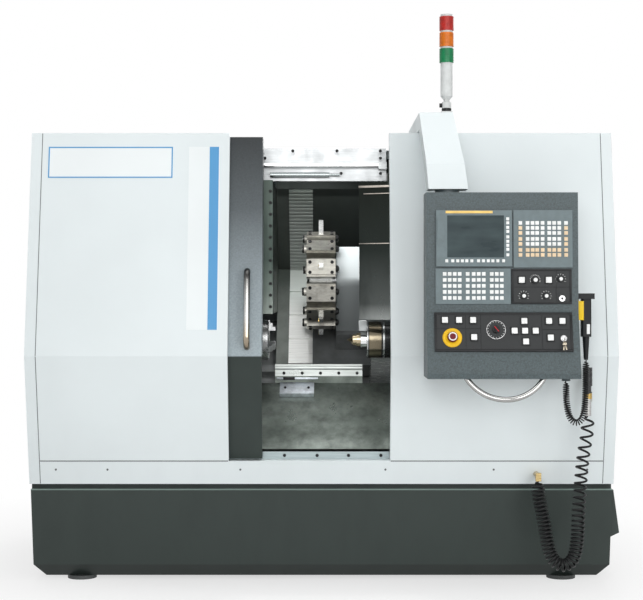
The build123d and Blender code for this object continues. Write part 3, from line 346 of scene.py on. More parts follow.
def guard_sheet():
    """Right guard: stained steel under painted shade, dark at its top and lighter towards its foot."""
    foot, top = 1.07, 1.66
    made = Finish("guard_sheet", (0.03, 0.034, 0.031), 0.34, 0.85)
    # Painted shade by height: lighter at the foot, near black at the top.
    tone = made.ramp(made.level(foot, top), [
        (0, (0.34, 0.36, 0.35)), (0.12, (0.09, 0.1, 0.096)), (0.5, (0.022, 0.028, 0.025)),
        (1, (0.013, 0.016, 0.013))])
    stains = made.noise(7, (1, 1, 0.4), detail=5, rough=0.6)
    made.colour(made.stained(tone, stains, (0.42, 0.7), 0.5, (0.008, 0.009, 0.008)))
    made.rough(stains, 0.26, 0.42)
    made.bump(made.noise(1, (260, 260, 5), detail=3), 0.05, 0.0003)
    return made.material


def upright_grain(made, low, high):
    """Upright grain of a steel wall with its roughness; gives the stains that run down it."""
    grain = made.noise(1, (300, 300, 5), detail=3)
    made.rough(grain, low, high)
    made.bump(grain, 0.06, 0.0004)
    return made.noise(9, (1, 1, 0.4), detail=5, rough=0.6)


def wall_sheet():
    """Left wall: greenish stained steel under painted shade, lighter towards its foot."""
    foot = 1.05
    made = Finish("wall_sheet", (0.075, 0.098, 0.087), 0.42, 1.0)
    stains = upright_grain(made, 0.34, 0.5)
    # Painted shade by height: lighter at the foot, dark higher up.
    tone = made.ramp(made.level(foot, chamber_top), [
        (0, (0.3, 0.335, 0.305)), (0.24, (0.12, 0.145, 0.13)), (0.45, (0.05, 0.066, 0.058)),
        (1, (0.058, 0.072, 0.064))])
    made.colour(made.stained(tone, stains, (0.42, 0.7), 0.25, (0.03, 0.037, 0.033)))
    return made.material


def rear_sheet():
    """Rear wall: dark stained steel, paler on the strip beside the way cover, where painted light makes it
    paler still towards its foot.
    """
    strip_end, strip_edge = -0.15, -0.146
    made = Finish("rear_sheet", (0.026, 0.031, 0.028), 0.4, 0.4)
    stains = upright_grain(made, 0.32, 0.48)
    level = made.level(chamber_foot, chamber_top)
    # Painted light on the strip: pale at its foot, dark higher up. Both ramps turn darker in a band at the
    # top.
    strip = made.ramp(level, [
        (0, (0.26, 0.28, 0.26)), (0.24, (0.2, 0.22, 0.203)), (0.45, (0.062, 0.073, 0.065)),
        (0.94, (0.042, 0.049, 0.044)), (0.955, (0.014, 0.017, 0.015))])
    wall = made.ramp(level, [(0.94, (0.026, 0.031, 0.028)), (0.955, (0.008, 0.01, 0.009))])
    tone = made.blend(made.span(made.axis("X"), (strip_end, strip_edge), (1, 0)), wall, strip)
    made.colour(made.stained(tone, stains, (0.4, 0.7), 0.35, (0.012, 0.014, 0.012)))
    return made.material


def apron_sheet():
    """Chip apron: bright ledge strips, and below them greenish stainless with coolant stains."""
    strip_foot, strip_full = 0.828, 0.83
    made = Finish("apron_sheet", (0.12, 0.138, 0.124), 0.34, 0.8)
    streaks = made.noise(1, (5, 90, 90), detail=4, rough=0.6)
    stains = made.noise(11, detail=6, rough=0.66)
    pools = made.noise(3.2, detail=3)
    sheet = made.ramp(pools, [(0.35, (0.1, 0.118, 0.105)), (0.65, (0.25, 0.283, 0.258))])
    stained = made.stained(sheet, stains, (0.4, 0.66), 0.6, (0.036, 0.043, 0.037))
    strips = made.between(streaks, (0.42, 0.45, 0.43), (0.62, 0.65, 0.63))
    made.colour(made.blend(made.level(strip_foot, strip_full), stained, strips))
    made.rough(stains, 0.24, 0.46)
    made.bump(streaks, 0.06, 0.0004)
    return made.material


def turned_steel(name, colour, roughness, centre):
    """Turned steel: tool marks round an axis along X."""
    made = Finish(name, colour, roughness, 1.0)
    rings = made.node("ShaderNodeTexNoise", noise_dimensions="1D")
    rings.inputs["Scale"].default_value = 900
    rings.inputs["Detail"].default_value = 3
    made.link(made.math("ADD", made.axis("X"), made.radius(centre)), rings.inputs["W"])
    marks = rings.outputs["Fac"]
    smears = made.noise(22, detail=4, rough=0.6)
    tone = made.tones(marks, colour, 0.8, 1.12)
    made.colour(made.stained(tone, smears, (0.5, 0.7), 0.35, shade(colour, 0.45)))
    made.rough(smears, roughness - 0.08, roughness + 0.12)
    made.bump(marks, 0.12, 0.0003)
    return made.material


def casting(name, colour):
    """Painted casting: coarse sand skin and oil smears."""
    made = Finish(name, colour, 0.5, 0.15)
    smears = made.noise(11, detail=4)
    made.colour(made.tones(smears, colour, 0.7, 1.2))
    made.rough(smears, 0.35, 0.62)
    made.bump(made.noise(260, detail=4, rough=0.6), 0.25, 0.0008)
    return made.material


def tailstock_finish():
    """Tailstock: black polished barrel about the spindle axis, and a pale painted foot under it."""
    barrel_edge, foot_edge = 0.0785, 0.0795
    made = Finish("tailstock_finish", (0.03, 0.032, 0.033), 0.22, 0.4)
    wipes = made.noise(30, (1, 6, 6), detail=4, rough=0.6)
    barrel = made.between(wipes, (0.012, 0.013, 0.013), (0.026, 0.028, 0.028))
    foot = made.between(made.noise(9, detail=4), (0.3, 0.32, 0.31), (0.46, 0.48, 0.47))
    outside = made.span(made.radius(spindle_axis), (barrel_edge, foot_edge), (0, 1))
    made.colour(made.blend(outside, barrel, foot))
    made.rough(wipes, 0.16, 0.32)
    return made.material


def moulded(name, colour, roughness):
    """Moulded plastic: fine spark grain and faint handling marks."""
    made = Finish(name, colour, roughness, Specular_IOR_Level=0.22)
    marks = made.noise(35, detail=3)
    made.colour(made.tones(marks, colour, 0.9, 1.08))
    made.rough(marks, roughness - 0.06, roughness + 0.08)
    made.bump(made.noise(2600, detail=1), 0.1, 0.0002)
    return made.material


@cache
def bolt_black():
    """Blackened bolt heads, one finish for all of them."""
    return moulded("bolt_black", (0.012, 0.012, 0.013), 0.4)


def polished(name, colour, roughness):
    """Polished plated metal with faint wiping marks."""
    made = Finish(name, colour, roughness, 1.0)
    wipes = made.noise(30, (1, 1, 6), detail=4, rough=0.6)
    made.colour(made.tones(wipes, colour, 0.88, 1.05))
    made.rough(wipes, roughness * 0.6, roughness * 1.6)
    return made.material


def lens_plastic():
    """Beacon lens rings: green, amber and red by height."""
    foot, top = 2.1, 2.3
    made = Finish("lens_plastic", (0.7, 0.1, 0.05), 0.34, Specular_IOR_Level=0.3)
    hues = made.ramp(made.level(foot, top), [
        (0, (0.002, 0.2, 0.07)), (0.34, (0.68, 0.17, 0.004)), (0.66, (0.45, 0.018, 0.012))], "CONSTANT")
    cloud = made.noise(60, detail=3)
    made.colour(made.stained(hues, cloud, (0.35, 0.7), 0.3, (0.02, 0.02, 0.02)))
    made.rough(cloud, 0.26, 0.42)
    return made.material


def handle_chrome():
    """Door handle: chrome with painted reflections, tinted warm at its foot, bright in the middle and dark at
    its upper end.
    """
    foot, top = 0.95, 1.28
    made = Finish("handle_chrome", (0.4, 0.385, 0.36), 0.16, 1.0)
    # Painted reflections and highlight by height along the handle.
    made.colour(made.ramp(made.level(foot, top), [
        (0, (0.26, 0.2, 0.14)), (0.2, (0.42, 0.36, 0.28)), (0.45, (0.5, 0.5, 0.49)),
        (0.75, (0.3, 0.3, 0.29)), (0.95, (0.06, 0.06, 0.058))]))
    made.rough(made.noise(30, (1, 1, 6), detail=4, rough=0.6), 0.12, 0.24)
    return made.material


def screen_glass():
    """Dark display with a faint sheen and soft bands."""
    made = Finish("screen_glass", (0.05, 0.075, 0.08), 0.3, Specular_IOR_Level=0.12)
    bands = made.noise(7, (1, 1, 3), detail=3)
    made.colour(made.between(bands, (0.022, 0.036, 0.04), (0.05, 0.072, 0.076)))
    made.rough(bands, 0.26, 0.36)
    return made.material


def pane_glass():
    """Clear laminated pane with faint smears."""
    made = Finish("pane_glass", (0.75, 0.82, 0.82), 0.05, Transmission_Weight=0.9, IOR=1.45)
    made.rough(made.noise(12, detail=4), 0.02, 0.1)
    return made.material


def coupler_metal():
    """Air coupler: silver plug, brass nut and black sleeve by height."""
    foot, top = 0.7, 0.86
    made = Finish("coupler_metal", (0.5, 0.5, 0.5), 0.3)
    level = made.level(foot, top)
    hues = made.ramp(level, [
        (0, (0.5, 0.5, 0.49)), (0.42, (0.55, 0.38, 0.12)), (0.56, (0.015, 0.016, 0.017))], "CONSTANT")
    marks = made.noise(80, (1, 1, 4), detail=3)
    made.colour(made.stained(hues, marks, (0.4, 0.7), 0.35, (0.05, 0.05, 0.05)))
    made.link(made.span(level, (0.54, 0.57), (1, 0)), made.shader.inputs["Metallic"])
    made.rough(marks, 0.2, 0.4)
    return made.material


def add_box(shape, size, place, bevel=0.0):
    """Box about a place, with rounded edges."""
    made = bmesh.ops.create_cube(shape, size=1, matrix=place @ Matrix.Diagonal((*size, 1)))
    if bevel:
        edges = list({edge for vert in made["verts"] for edge in vert.link_edges})
        bmesh.ops.bevel(shape, geom=edges, offset=bevel, segments=2, affect="EDGES", profile=0.5)


def add_turned(shape, profile, place, sides, loop=False):
    """Round shape from (radius, height) points about a place's own Z; a loop closes on itself."""
    rings = []
    for radius, height in profile:
        count = sides if radius > 1e-6 else 1
        rings.append([shape.verts.new(place @ Vector((radius * cos(2 * pi * step / sides),
                                                      radius * sin(2 * pi * step / sides), height)))
                      for step in range(count)])
    pairs = list(zip(rings, rings[1:])) + ([(rings[-1], rings[0])] if loop else [])
    for first, second in pairs:
        for step in range(sides):
            after = (step + 1) % sides
            corners = [first[step % len(first)], first[after % len(first)],
                       second[after % len(second)], second[step % len(second)]]
            shape.faces.new(list(dict.fromkeys(corners)))


def add_ring(shape, outer, inner, low, high, place, sides):
    """Flat ring with a small chamfer on its upper edges."""
    edge = min(0.15 * (outer - inner), 0.3 * (high - low))
    profile = [(inner, low), (outer, low), (outer, high - edge), (outer - edge, high), (inner + edge, high),
               (inner, high - edge)]
    add_turned(shape, profile, place, sides, loop=True)


def shape_of(add, *values, **settings):
    """New shape with one form in it."""
    shape = bmesh.new()
    add(shape, *values, **settings)
    return shape


def as_mesh(shape, name):
    """Mesh from a shape, with its normals outward and its edges sharp between flat faces."""
    bmesh.ops.recalc_face_normals(shape, faces=shape.faces)
    mesh = bpy.data.meshes.new(name)
    shape.to_mesh(mesh)
    shape.free()
    mesh.polygons.foreach_set("use_smooth", [True] * len(mesh.polygons))
    mesh.set_sharp_from_angle(angle=sharp_angle)
    return mesh


def piece(name, mesh, material, body):
    """Finished piece at the origin, riding on a body."""
    made = bpy.data.objects.new(name, mesh)
    bpy.context.scene.collection.objects.link(made)
    mesh.materials.clear()
    mesh.materials.append(material)
    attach(made, body)
    return made


def solid(name, shape, material, body, slot):
    """Finished piece from a shape."""
    return piece(name, as_mesh(shape, name), material, body)


def dress(material, *names):
    """Puts a finish on CAD nodes."""
    for name in names:
        slots = nodes[name].data.materials
        slots.clear()
        slots.append(material)


def new_tree(name, inputs):
    """Empty geometry node tree with its inputs, and those inputs' node."""
    tree = bpy.data.node_groups.new(name, "GeometryNodeTree")
    tree.is_modifier = True
    tree.interface.new_socket("Geometry", in_out="OUTPUT", socket_type="NodeSocketGeometry")
    for label, kind in inputs:
        tree.interface.new_socket(label, in_out="INPUT", socket_type="NodeSocket" + kind)
    return tree, tree.nodes.new("NodeGroupInput")


def close_tree(tree, geometry, material):
    """Realizes the instances, sets their material and ends the tree."""
    realize = tree.nodes.new("GeometryNodeRealizeInstances")
    paint = tree.nodes.new("GeometryNodeSetMaterial")
    tree.links.new(geometry, realize.inputs["Geometry"])
    tree.links.new(realize.outputs["Geometry"], paint.inputs["Geometry"])
    tree.links.new(material, paint.inputs["Material"])
    tree.links.new(paint.outputs["Geometry"], tree.nodes.new("NodeGroupOutput").inputs["Geometry"])


@cache
def fittings_tree():
    """A fitting on each point, its Z along the point's facing."""
    tree, given = new_tree("fittings_on_points", [("Geometry", "Geometry"), ("Fitting", "Object"),
                                                  ("Size", "Float"), ("Finish", "Material")])
    fitting = tree.nodes.new("GeometryNodeObjectInfo")
    facing = tree.nodes.new("GeometryNodeInputNamedAttribute")
    facing.data_type = "FLOAT_VECTOR"
    facing.inputs["Name"].default_value = "facing"
    turn = tree.nodes.new("FunctionNodeAlignRotationToVector")
    turn.axis = "Z"
    spread = tree.nodes.new("GeometryNodeInstanceOnPoints")
    tree.links.new(given.outputs["Fitting"], fitting.inputs["Object"])
    tree.links.new(facing.outputs["Attribute"], turn.inputs["Vector"])
    tree.links.new(given.outputs["Geometry"], spread.inputs["Points"])
    tree.links.new(fitting.outputs["Geometry"], spread.inputs["Instance"])
    tree.links.new(turn.outputs["Rotation"], spread.inputs["Rotation"])
    tree.links.new(given.outputs["Size"], spread.inputs["Scale"])
    close_tree(tree, spread.outputs["Instances"], given.outputs["Finish"])
    return tree


@cache
def ticks_tree():
    """Tick marks round a dial, over part of a turn."""
    tree, given = new_tree("ticks_round_dial", [
        ("Geometry", "Geometry"), ("Count", "Int"), ("Radius", "Float"), ("Start", "Float"),
        ("Sweep", "Float"), ("Tick", "Vector"), ("Finish", "Material")])
    arc = tree.nodes.new("GeometryNodeCurveArc")
    tick = tree.nodes.new("GeometryNodeMeshCube")
    outward = tree.nodes.new("FunctionNodeAlignRotationToVector")
    outward.axis = "X"
    place = tree.nodes.new("GeometryNodeInputPosition")
    spread = tree.nodes.new("GeometryNodeInstanceOnPoints")
    tree.links.new(given.outputs["Count"], arc.inputs["Resolution"])
    tree.links.new(given.outputs["Radius"], arc.inputs["Radius"])
    tree.links.new(given.outputs["Start"], arc.inputs["Start Angle"])
    tree.links.new(given.outputs["Sweep"], arc.inputs["Sweep Angle"])
    tree.links.new(given.outputs["Tick"], tick.inputs["Size"])
    tree.links.new(place.outputs["Position"], outward.inputs["Vector"])
    tree.links.new(arc.outputs["Curve"], spread.inputs["Points"])
    tree.links.new(tick.outputs["Mesh"], spread.inputs["Instance"])
    tree.links.new(outward.outputs["Rotation"], spread.inputs["Rotation"])
    close_tree(tree, spread.outputs["Instances"], given.outputs["Finish"])
    return tree


def grown(tree, mesh, **inputs):
    """Plain mesh that a tree makes from a mesh and its inputs."""
    holder = bpy.data.objects.new("holder", mesh)
    bpy.context.scene.collection.objects.link(holder)
    modifier = holder.modifiers.new("grow", "NODES")
    modifier.node_group = tree
    sockets = {item.name: item.identifier for item in tree.interface.items_tree
               if item.item_type == "SOCKET" and item.in_out == "INPUT"}
    for label, value in inputs.items():
        modifier[sockets[label]] = value
    graph = bpy.context.evaluated_depsgraph_get()
    result = bpy.data.meshes.new_from_object(holder.evaluated_get(graph), depsgraph=graph)
    bpy.data.objects.remove(holder)
    if not result.polygons:
        raise RuntimeError(f"{tree.name} made no faces")
    return result


def scatter(name, places, shape, material, body, slot):
    """One fitting on each (point, facing) place, as one piece."""
    points = bpy.data.meshes.new(name + "_points")
    points.from_pydata([tuple(point) for point, _ in places], [], [])
    facing = points.attributes.new("facing", "FLOAT_VECTOR", "POINT")
    facing.data.foreach_set("vector", [value for _, direction in places for value in direction])
    fitting = bpy.data.objects.new(name + "_fitting", as_mesh(shape, name + "_fitting"))
    bpy.context.scene.collection.objects.link(fitting)
    mesh = grown(fittings_tree(), points, Fitting=fitting, Size=1.0, Finish=material)
    bpy.data.objects.remove(fitting)
    return piece(name, mesh, material, body)


def ticks(name, count, radius, start, sweep, tick, place, material, body, slot):
    """Ring of tick marks at a place."""
    mesh = grown(ticks_tree(), bpy.data.meshes.new(name), Count=count, Radius=radius, Start=radians(start),
                 Sweep=radians(sweep), Tick=tick, Finish=material)
    mesh.transform(place)
    return piece(name, mesh, material, body)


def socket_bolt(radius, height):
    """Cap head bolt with a round recess in its head."""
    rim, socket_r, floor = radius * 0.12, radius * 0.5, height * 0.45
    profile = [(0, 0), (radius, 0), (radius, height - rim), (radius - rim, height), (radius * 0.58, height),
               (socket_r, floor), (0, floor)]
    return shape_of(add_turned, profile, Matrix(), 18)


def cap(side, height, edge):
    """Square key cap with rounded edges."""
    return shape_of(add_box, (side, side, height), Matrix.Translation((0, 0, height / 2)), edge)


def basis(origin, along, up):
    """Matrix whose X and Y run along and up a face and whose Z points out of it."""
    along, up = Vector(along).normalized(), Vector(up).normalized()
    out = along.cross(up)
    turned = Matrix((along, up, out)).transposed().to_4x4()
    return Matrix.Translation(origin) @ turned


def spot(place):
    """Point and facing of a place."""
    return place.translation, place.col[2].to_3d()


def border(left, right, low, high, rim):
    """The four bars of a frame inside a rectangle, each as left, right, low and high."""
    return ((left, right, low, low + rim), (left, right, high - rim, high),
            (left, left + rim, low + rim, high - rim), (right - rim, right, low + rim, high - rim))


def front_place(x, z, lift=0.0):
    """Place on the folded front at a width and height."""
    lean, rise = front_rise["upper" if z >= front_fold[1] else "lower"]
    y = front_fold[0] + (z - front_fold[1]) * lean / rise
    return basis((x, y, z), (1, 0, 0), (0, lean, rise)) @ Matrix.Translation((0, 0, lift))


def front_strip(shape, span, thick, lift=0.0):
    """Flat strip on one side of the front's fold, over a left, right, low and high edge."""
    left, right, low, high = span
    run = front_place(0, high).translation - front_place(0, low).translation
    place = front_place((left + right) / 2, (low + high) / 2, lift + thick / 2)
    add_box(shape, (right - left, run.length, thick), place)


def pendant_place(pixel, lift=0.0):
    """Place on the pendant's faces at a pixel of the view."""
    x, y = pixel
    rise = Vector((0, *pendant_rise["upper" if y < pendant_fold_row else "lower"])).normalized()
    origin = Vector(((x - view_centre) * pendant_pixel, *pendant_fold))
    origin += rise * (pendant_fold_row - y) * pendant_pixel
    return basis(origin, (1, 0, 0), rise) @ Matrix.Translation((0, 0, lift))


def pendant_spot(pixel, lift):
    """Point and facing on the pendant's faces."""
    return spot(pendant_place(pixel, lift))


def pendant_strip(shape, span, lift, thick, bevel=0.0):
    """Bar on a pendant face over a pixel box."""
    left, right, top, bottom = span
    size = ((right - left) * pendant_pixel, (bottom - top) * pendant_pixel, thick)
    add_box(shape, size, pendant_place(((left + right) / 2, (top + bottom) / 2), lift + thick / 2), bevel)


class DressCovers(bpy.types.Operator):
    """Covers, base and door: powder coats, seams and the two bare plates"""
    bl_idname = "lathe.covers"
    bl_label = "Covers and base"

    # Spans are left, right, low and high edges in metres.
    corner_x, seam_half, seam_thick = 1.1452, 0.0014, 0.0006
    corner_seams = ((0.412, 0.934), (0.936, 1.843))
    skirt_seams = ((-1.143, -0.379, 0.5035, 0.5075), (0.281, 1.143, 0.5035, 0.5075))
    outlined, banded = (-1.118, -0.609, 1.658, 1.787), (-0.543, -0.416, 1.04, 1.787)
    band = (-0.458, -0.42, 1.04, 1.787)
    plate_thick, trim_thick, outline = 0.0012, 0.0008, 0.005
    skirt_screws, skirt_screw_z = (-1.08, -0.87, -0.33, 0.26, 0.7, 1.08), 0.47
    rear_screw_columns, rear_screw_rows = (-1.04, -0.05, 0.05, 1.04), (0.6, 1.1, 1.6)
    screw_r, screw_h = 0.0042, 0.002

    def execute(self, context):
        """Dresses the outside sheets."""
        hues = context.scene.lathe_colours
        seam = moulded("seam_shadow", (0.13, 0.14, 0.143), 0.7)
        dress(powder_coat("panel_coat", hues.panel[:], 1100, 0.35), "left_end_cover", "right_end_cover",
              "rear_cover", "front_left_cover", "front_right_cover", "front_skirt")
        # Painted shade: the roof takes the covers' coat a tenth darker.
        dress(powder_coat("roof_coat_painted_shade", shade(hues.panel[:], 0.9), 700, 0.0, 0.03), "roof_cover")
        dress(base_coat(hues.base[:]), "base_frame", "coolant_tank")
        dress(casting("foot_iron", (0.06, 0.065, 0.065)), "levelling_feet")
        dress(door_coat(hues.door[:], hues.base[:]), "door_leaf")
        dress(pane_glass(), "door_window")
        dress(handle_chrome(), "door_handle")
        self.seams(seam)
        self.plates(hues)
        self.fasteners(seam)
        return {"FINISHED"}

    def seams(self, seam):
        """Dark joints beside the corner strips and over the skirt."""
        shape = bmesh.new()
        for x in (-self.corner_x, self.corner_x):
            for z_span in self.corner_seams:
                front_strip(shape, (x - self.seam_half, x + self.seam_half, *z_span), self.seam_thick)
        for span in self.skirt_seams:
            front_strip(shape, span, self.seam_thick)
        solid("cover_seams", shape, seam, "machine", "dark_paint")

    def plates(self, hues):
        """Bare plates: one with a blue outline, one with a blue band."""
        ground = bmesh.new()
        for span in (self.outlined, self.banded):
            front_strip(ground, span, self.plate_thick)
        white = powder_coat("plate_white", (0.78, 0.82, 0.825), 2400, 0.0)
        solid("bare_plates", ground, white, "machine", "white_paint")
        trim = bmesh.new()
        for span in (*border(*self.outlined, self.outline), self.band):
            front_strip(trim, span, self.trim_thick, self.plate_thick)
        blue = powder_coat("plate_blue", hues.trim[:], 2400, 0.0)
        solid("plate_trim", trim, blue, "machine", "white_paint")

    def fasteners(self, seam):
        """Small screws on the skirt and along the rear sheet."""
        spots = [spot(front_place(x, self.skirt_screw_z)) for x in self.skirt_screws]
        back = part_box("rear_cover")[1].y
        spots += [((x, back, z), (0, 1, 0)) for x in self.rear_screw_columns for z in self.rear_screw_rows]
        scatter("cover_screws", spots, socket_bolt(self.screw_r, self.screw_h), seam, "machine", "dark_paint")


class DressChamber(bpy.types.Operator):
    """Work chamber: sheets, rails, bolts, bracket and the slides behind them"""
    bl_idname = "lathe.chamber"
    bl_label = "Work chamber"

    brush_across, brush_up = (6, 500, 500), (300, 300, 5)
    fold_near, fold_far = Vector((0.288, -0.505, 0)), Vector((0.16, -0.445, 0))
    fold_gap, fold_edge = 0.003, 0.0012
    # A fold has a height, a depth, a thickness and the length cut off its far end.
    folds = ((1.636, 0.009, 0.007, 0), (1.606, 0.004, 0.005, 0.022), (1.396, 0.004, 0.003, 0))
    # A row on the track has a setback, a height and its columns.
    track_bolts = ((0.024, 1.791, (-0.122, 0.066, 0.25)), (0.012, 1.759, (-0.24, 0.25)),
                   (0, 1.694, (0.083, 0.25)))
    wall_x, wall_foot, wall_pitch, wall_count = -0.214, 1.13, 0.0485, 11
    sill_columns = (-0.152, -0.018, 0.111, 0.244)
    ledge_start, ledge_pitch, ledge_count, ledge_y, ledge_z = -0.1616, 0.0787, 5, -0.333, 0.842
    slope, knee, knee_drop = Vector((0, 0.315, 0.251)), Vector((-0.1055, -0.33, 0.799)), 0.043
    plate, flange = (0.147, 0.078, 0.008), (0.147, 0.006, 0.02)
    lip, clamp = (0.178, 0.012, 0.008), (0.05, 0.014, 0.012)
    lip_place, clamp_place = (-0.104, -0.336, 0.8195), (-0.14, -0.338, 0.8195)
    bracket_bolt, bracket_bolt_columns, bracket_bolt_y = (0.0055, 0.004), (-0.05, 0.05), 0.004
    bracket_edge, clamp_edge, wiper_edge = 0.001, 0.0015, 0.003
    # A ring has an outer and an inner radius, a start and an end along the spindle axis.
    collars, sleeve = ((0.0795, 0.06, 0.1945, 0.2), (0.0793, 0.07, 0.262, 0.27)), (0.0788, 0.07, 0.203, 0.256)
    wiper, wiper_place = (0.034, 0.062, 0.044), (0.1775, -0.35, 1.0465)

    def execute(self, context):
        """Dresses the chamber."""
        dress(brushed("strip_alloy", (0.44, 0.455, 0.46), 0.4, self.brush_across), "door_track",
              "door_hangers")
        dress(brushed("sill_alloy", (0.36, 0.42, 0.43), 0.36, self.brush_across), "door_sill")
        dress(wall_sheet(), "left_wall")
        dress(guard_sheet(), "right_guard")
        dress(apron_sheet(), "chip_apron")
        dress(way_sheet(), "way_cover")
        dress(rear_sheet(), "rear_wall")
        dress(polished("rod_chrome", (0.85, 0.86, 0.86), 0.12), "guide_rod", "tailstock_quill")
        dress(polished("damper_steel", (0.3, 0.33, 0.33), 0.2), "door_damper")
        dress(casting("bed_iron", (0.2, 0.21, 0.21)), "slant_bed", "headstock", "z_saddle", "cross_slide")
        dress(tailstock_finish(), "tailstock")
        dress(turned_steel("chuck_steel", (0.5, 0.51, 0.51), 0.26, spindle_axis), "spindle", "chuck_body",
              "chuck_jaw_1", "chuck_jaw_2", "chuck_jaw_3")
        dress(turned_steel("centre_steel", (0.5, 0.42, 0.28), 0.24, spindle_axis), "live_centre")
        self.bolts(context.scene.lathe_sizes)
        self.bracket()
        self.guard_folds()
        self.tailstock_trim()
        return {"FINISHED"}

    def guard_folds(self):
        """Bright folded edges along the right guard, on the side that faces the work."""
        run = self.fold_near - self.fold_far
        shape = bmesh.new()
        for height, depth, thick, cut in self.folds:
            end = self.fold_far + run.normalized() * cut
            place = basis((self.fold_near + end) / 2 + Vector((0, 0, height)), run, (0, 0, 1))
            size = ((self.fold_near - end).length, depth, thick)
            lift = Matrix.Translation((0, 0, self.fold_gap + thick / 2))
            add_box(shape, size, place @ lift, self.fold_edge)
        bright = brushed("fold_steel", (0.62, 0.56, 0.5), 0.3, self.brush_up, 0.2)
        solid("guard_folds", shape, bright, "machine", "stainless")

    def bolts(self, sizes):
        """Bolt rows on the rails, wall, sill and ledge."""
        track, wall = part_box("door_track")[0].y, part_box("left_wall")[0].y
        sill, sill_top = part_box("door_sill")
        points = [(x, track + back, z) for back, z, columns in self.track_bolts for x in columns]
        points += [(self.wall_x, wall, self.wall_foot + self.wall_pitch * step)
                   for step in range(self.wall_count)]
        points += [(x, sill.y, (sill.z + sill_top.z) / 2) for x in self.sill_columns]
        points += [(self.ledge_start + self.ledge_pitch * step, self.ledge_y, self.ledge_z)
                   for step in range(self.ledge_count)]
        scatter("chamber_bolts", [(point, (0, -1, 0)) for point in points],
                socket_bolt(sizes.bolt_r, sizes.bolt_h), bolt_black(), "machine", "black_plastic")

    def bracket(self):
        """Pale bracket plate on the apron with its two bolts, its flanges and a dark clamp over it."""
        place = basis(self.knee - self.slope.normalized() * self.knee_drop, (1, 0, 0), self.slope)
        pale = brushed("bracket_alloy", (0.74, 0.79, 0.84), 0.42, self.brush_across, 0.5)
        thick, edge = self.plate[2], self.bracket_edge
        flange_y = -(self.plate[1] + self.flange[1]) / 2
        shape = shape_of(add_box, self.plate, place @ Matrix.Translation((0, 0, thick / 2)), edge)
        add_box(shape, self.flange, place @ Matrix.Translation((0, flange_y, self.flange[2] / 2)), edge)
        add_box(shape, self.lip, Matrix.Translation(self.lip_place), edge)
        solid("apron_bracket", shape, pale, "machine", "aluminium")
        spots = [spot(place @ Matrix.Translation((x, self.bracket_bolt_y, thick)))
                 for x in self.bracket_bolt_columns]
        scatter("bracket_bolts", spots, socket_bolt(*self.bracket_bolt), bolt_black(), "machine",
                "black_plastic")
        clamp = shape_of(add_box, self.clamp, Matrix.Translation(self.clamp_place), self.clamp_edge)
        solid("bracket_clamp", clamp, bolt_black(), "machine", "black_plastic")

    def tailstock_trim(self):
        """Bright collars, a sleeve tinted dull bronze as a painted reflection of brass, and pale wiper block
        on the tailstock.
        """
        axis = Matrix.Translation(spindle_axis) @ Matrix.Rotation(pi / 2, 4, "Y")
        collars = bmesh.new()
        for ring in self.collars:
            add_ring(collars, *ring, axis, 64)
        sleeve = shape_of(add_ring, *self.sleeve, axis, 64)
        wiper = shape_of(add_box, self.wiper, Matrix.Translation(self.wiper_place), self.wiper_edge)
        bright = turned_steel("collar_steel", (0.62, 0.63, 0.63), 0.24, spindle_axis)
        # Painted reflection: the sleeve's bronze tint stands for brass mirrored in the barrel.
        dark = turned_steel("sleeve_brass_reflection", (0.2, 0.17, 0.12), 0.2, spindle_axis)
        white = moulded("wiper_white", (0.72, 0.75, 0.75), 0.4)
        solid("tailstock_collars", collars, bright, "tailstock", "ground_steel")
        solid("tailstock_sleeve", sleeve, dark, "tailstock", "ground_steel")
        solid("tailstock_wiper", wiper, white, "tailstock", "white_plastic")


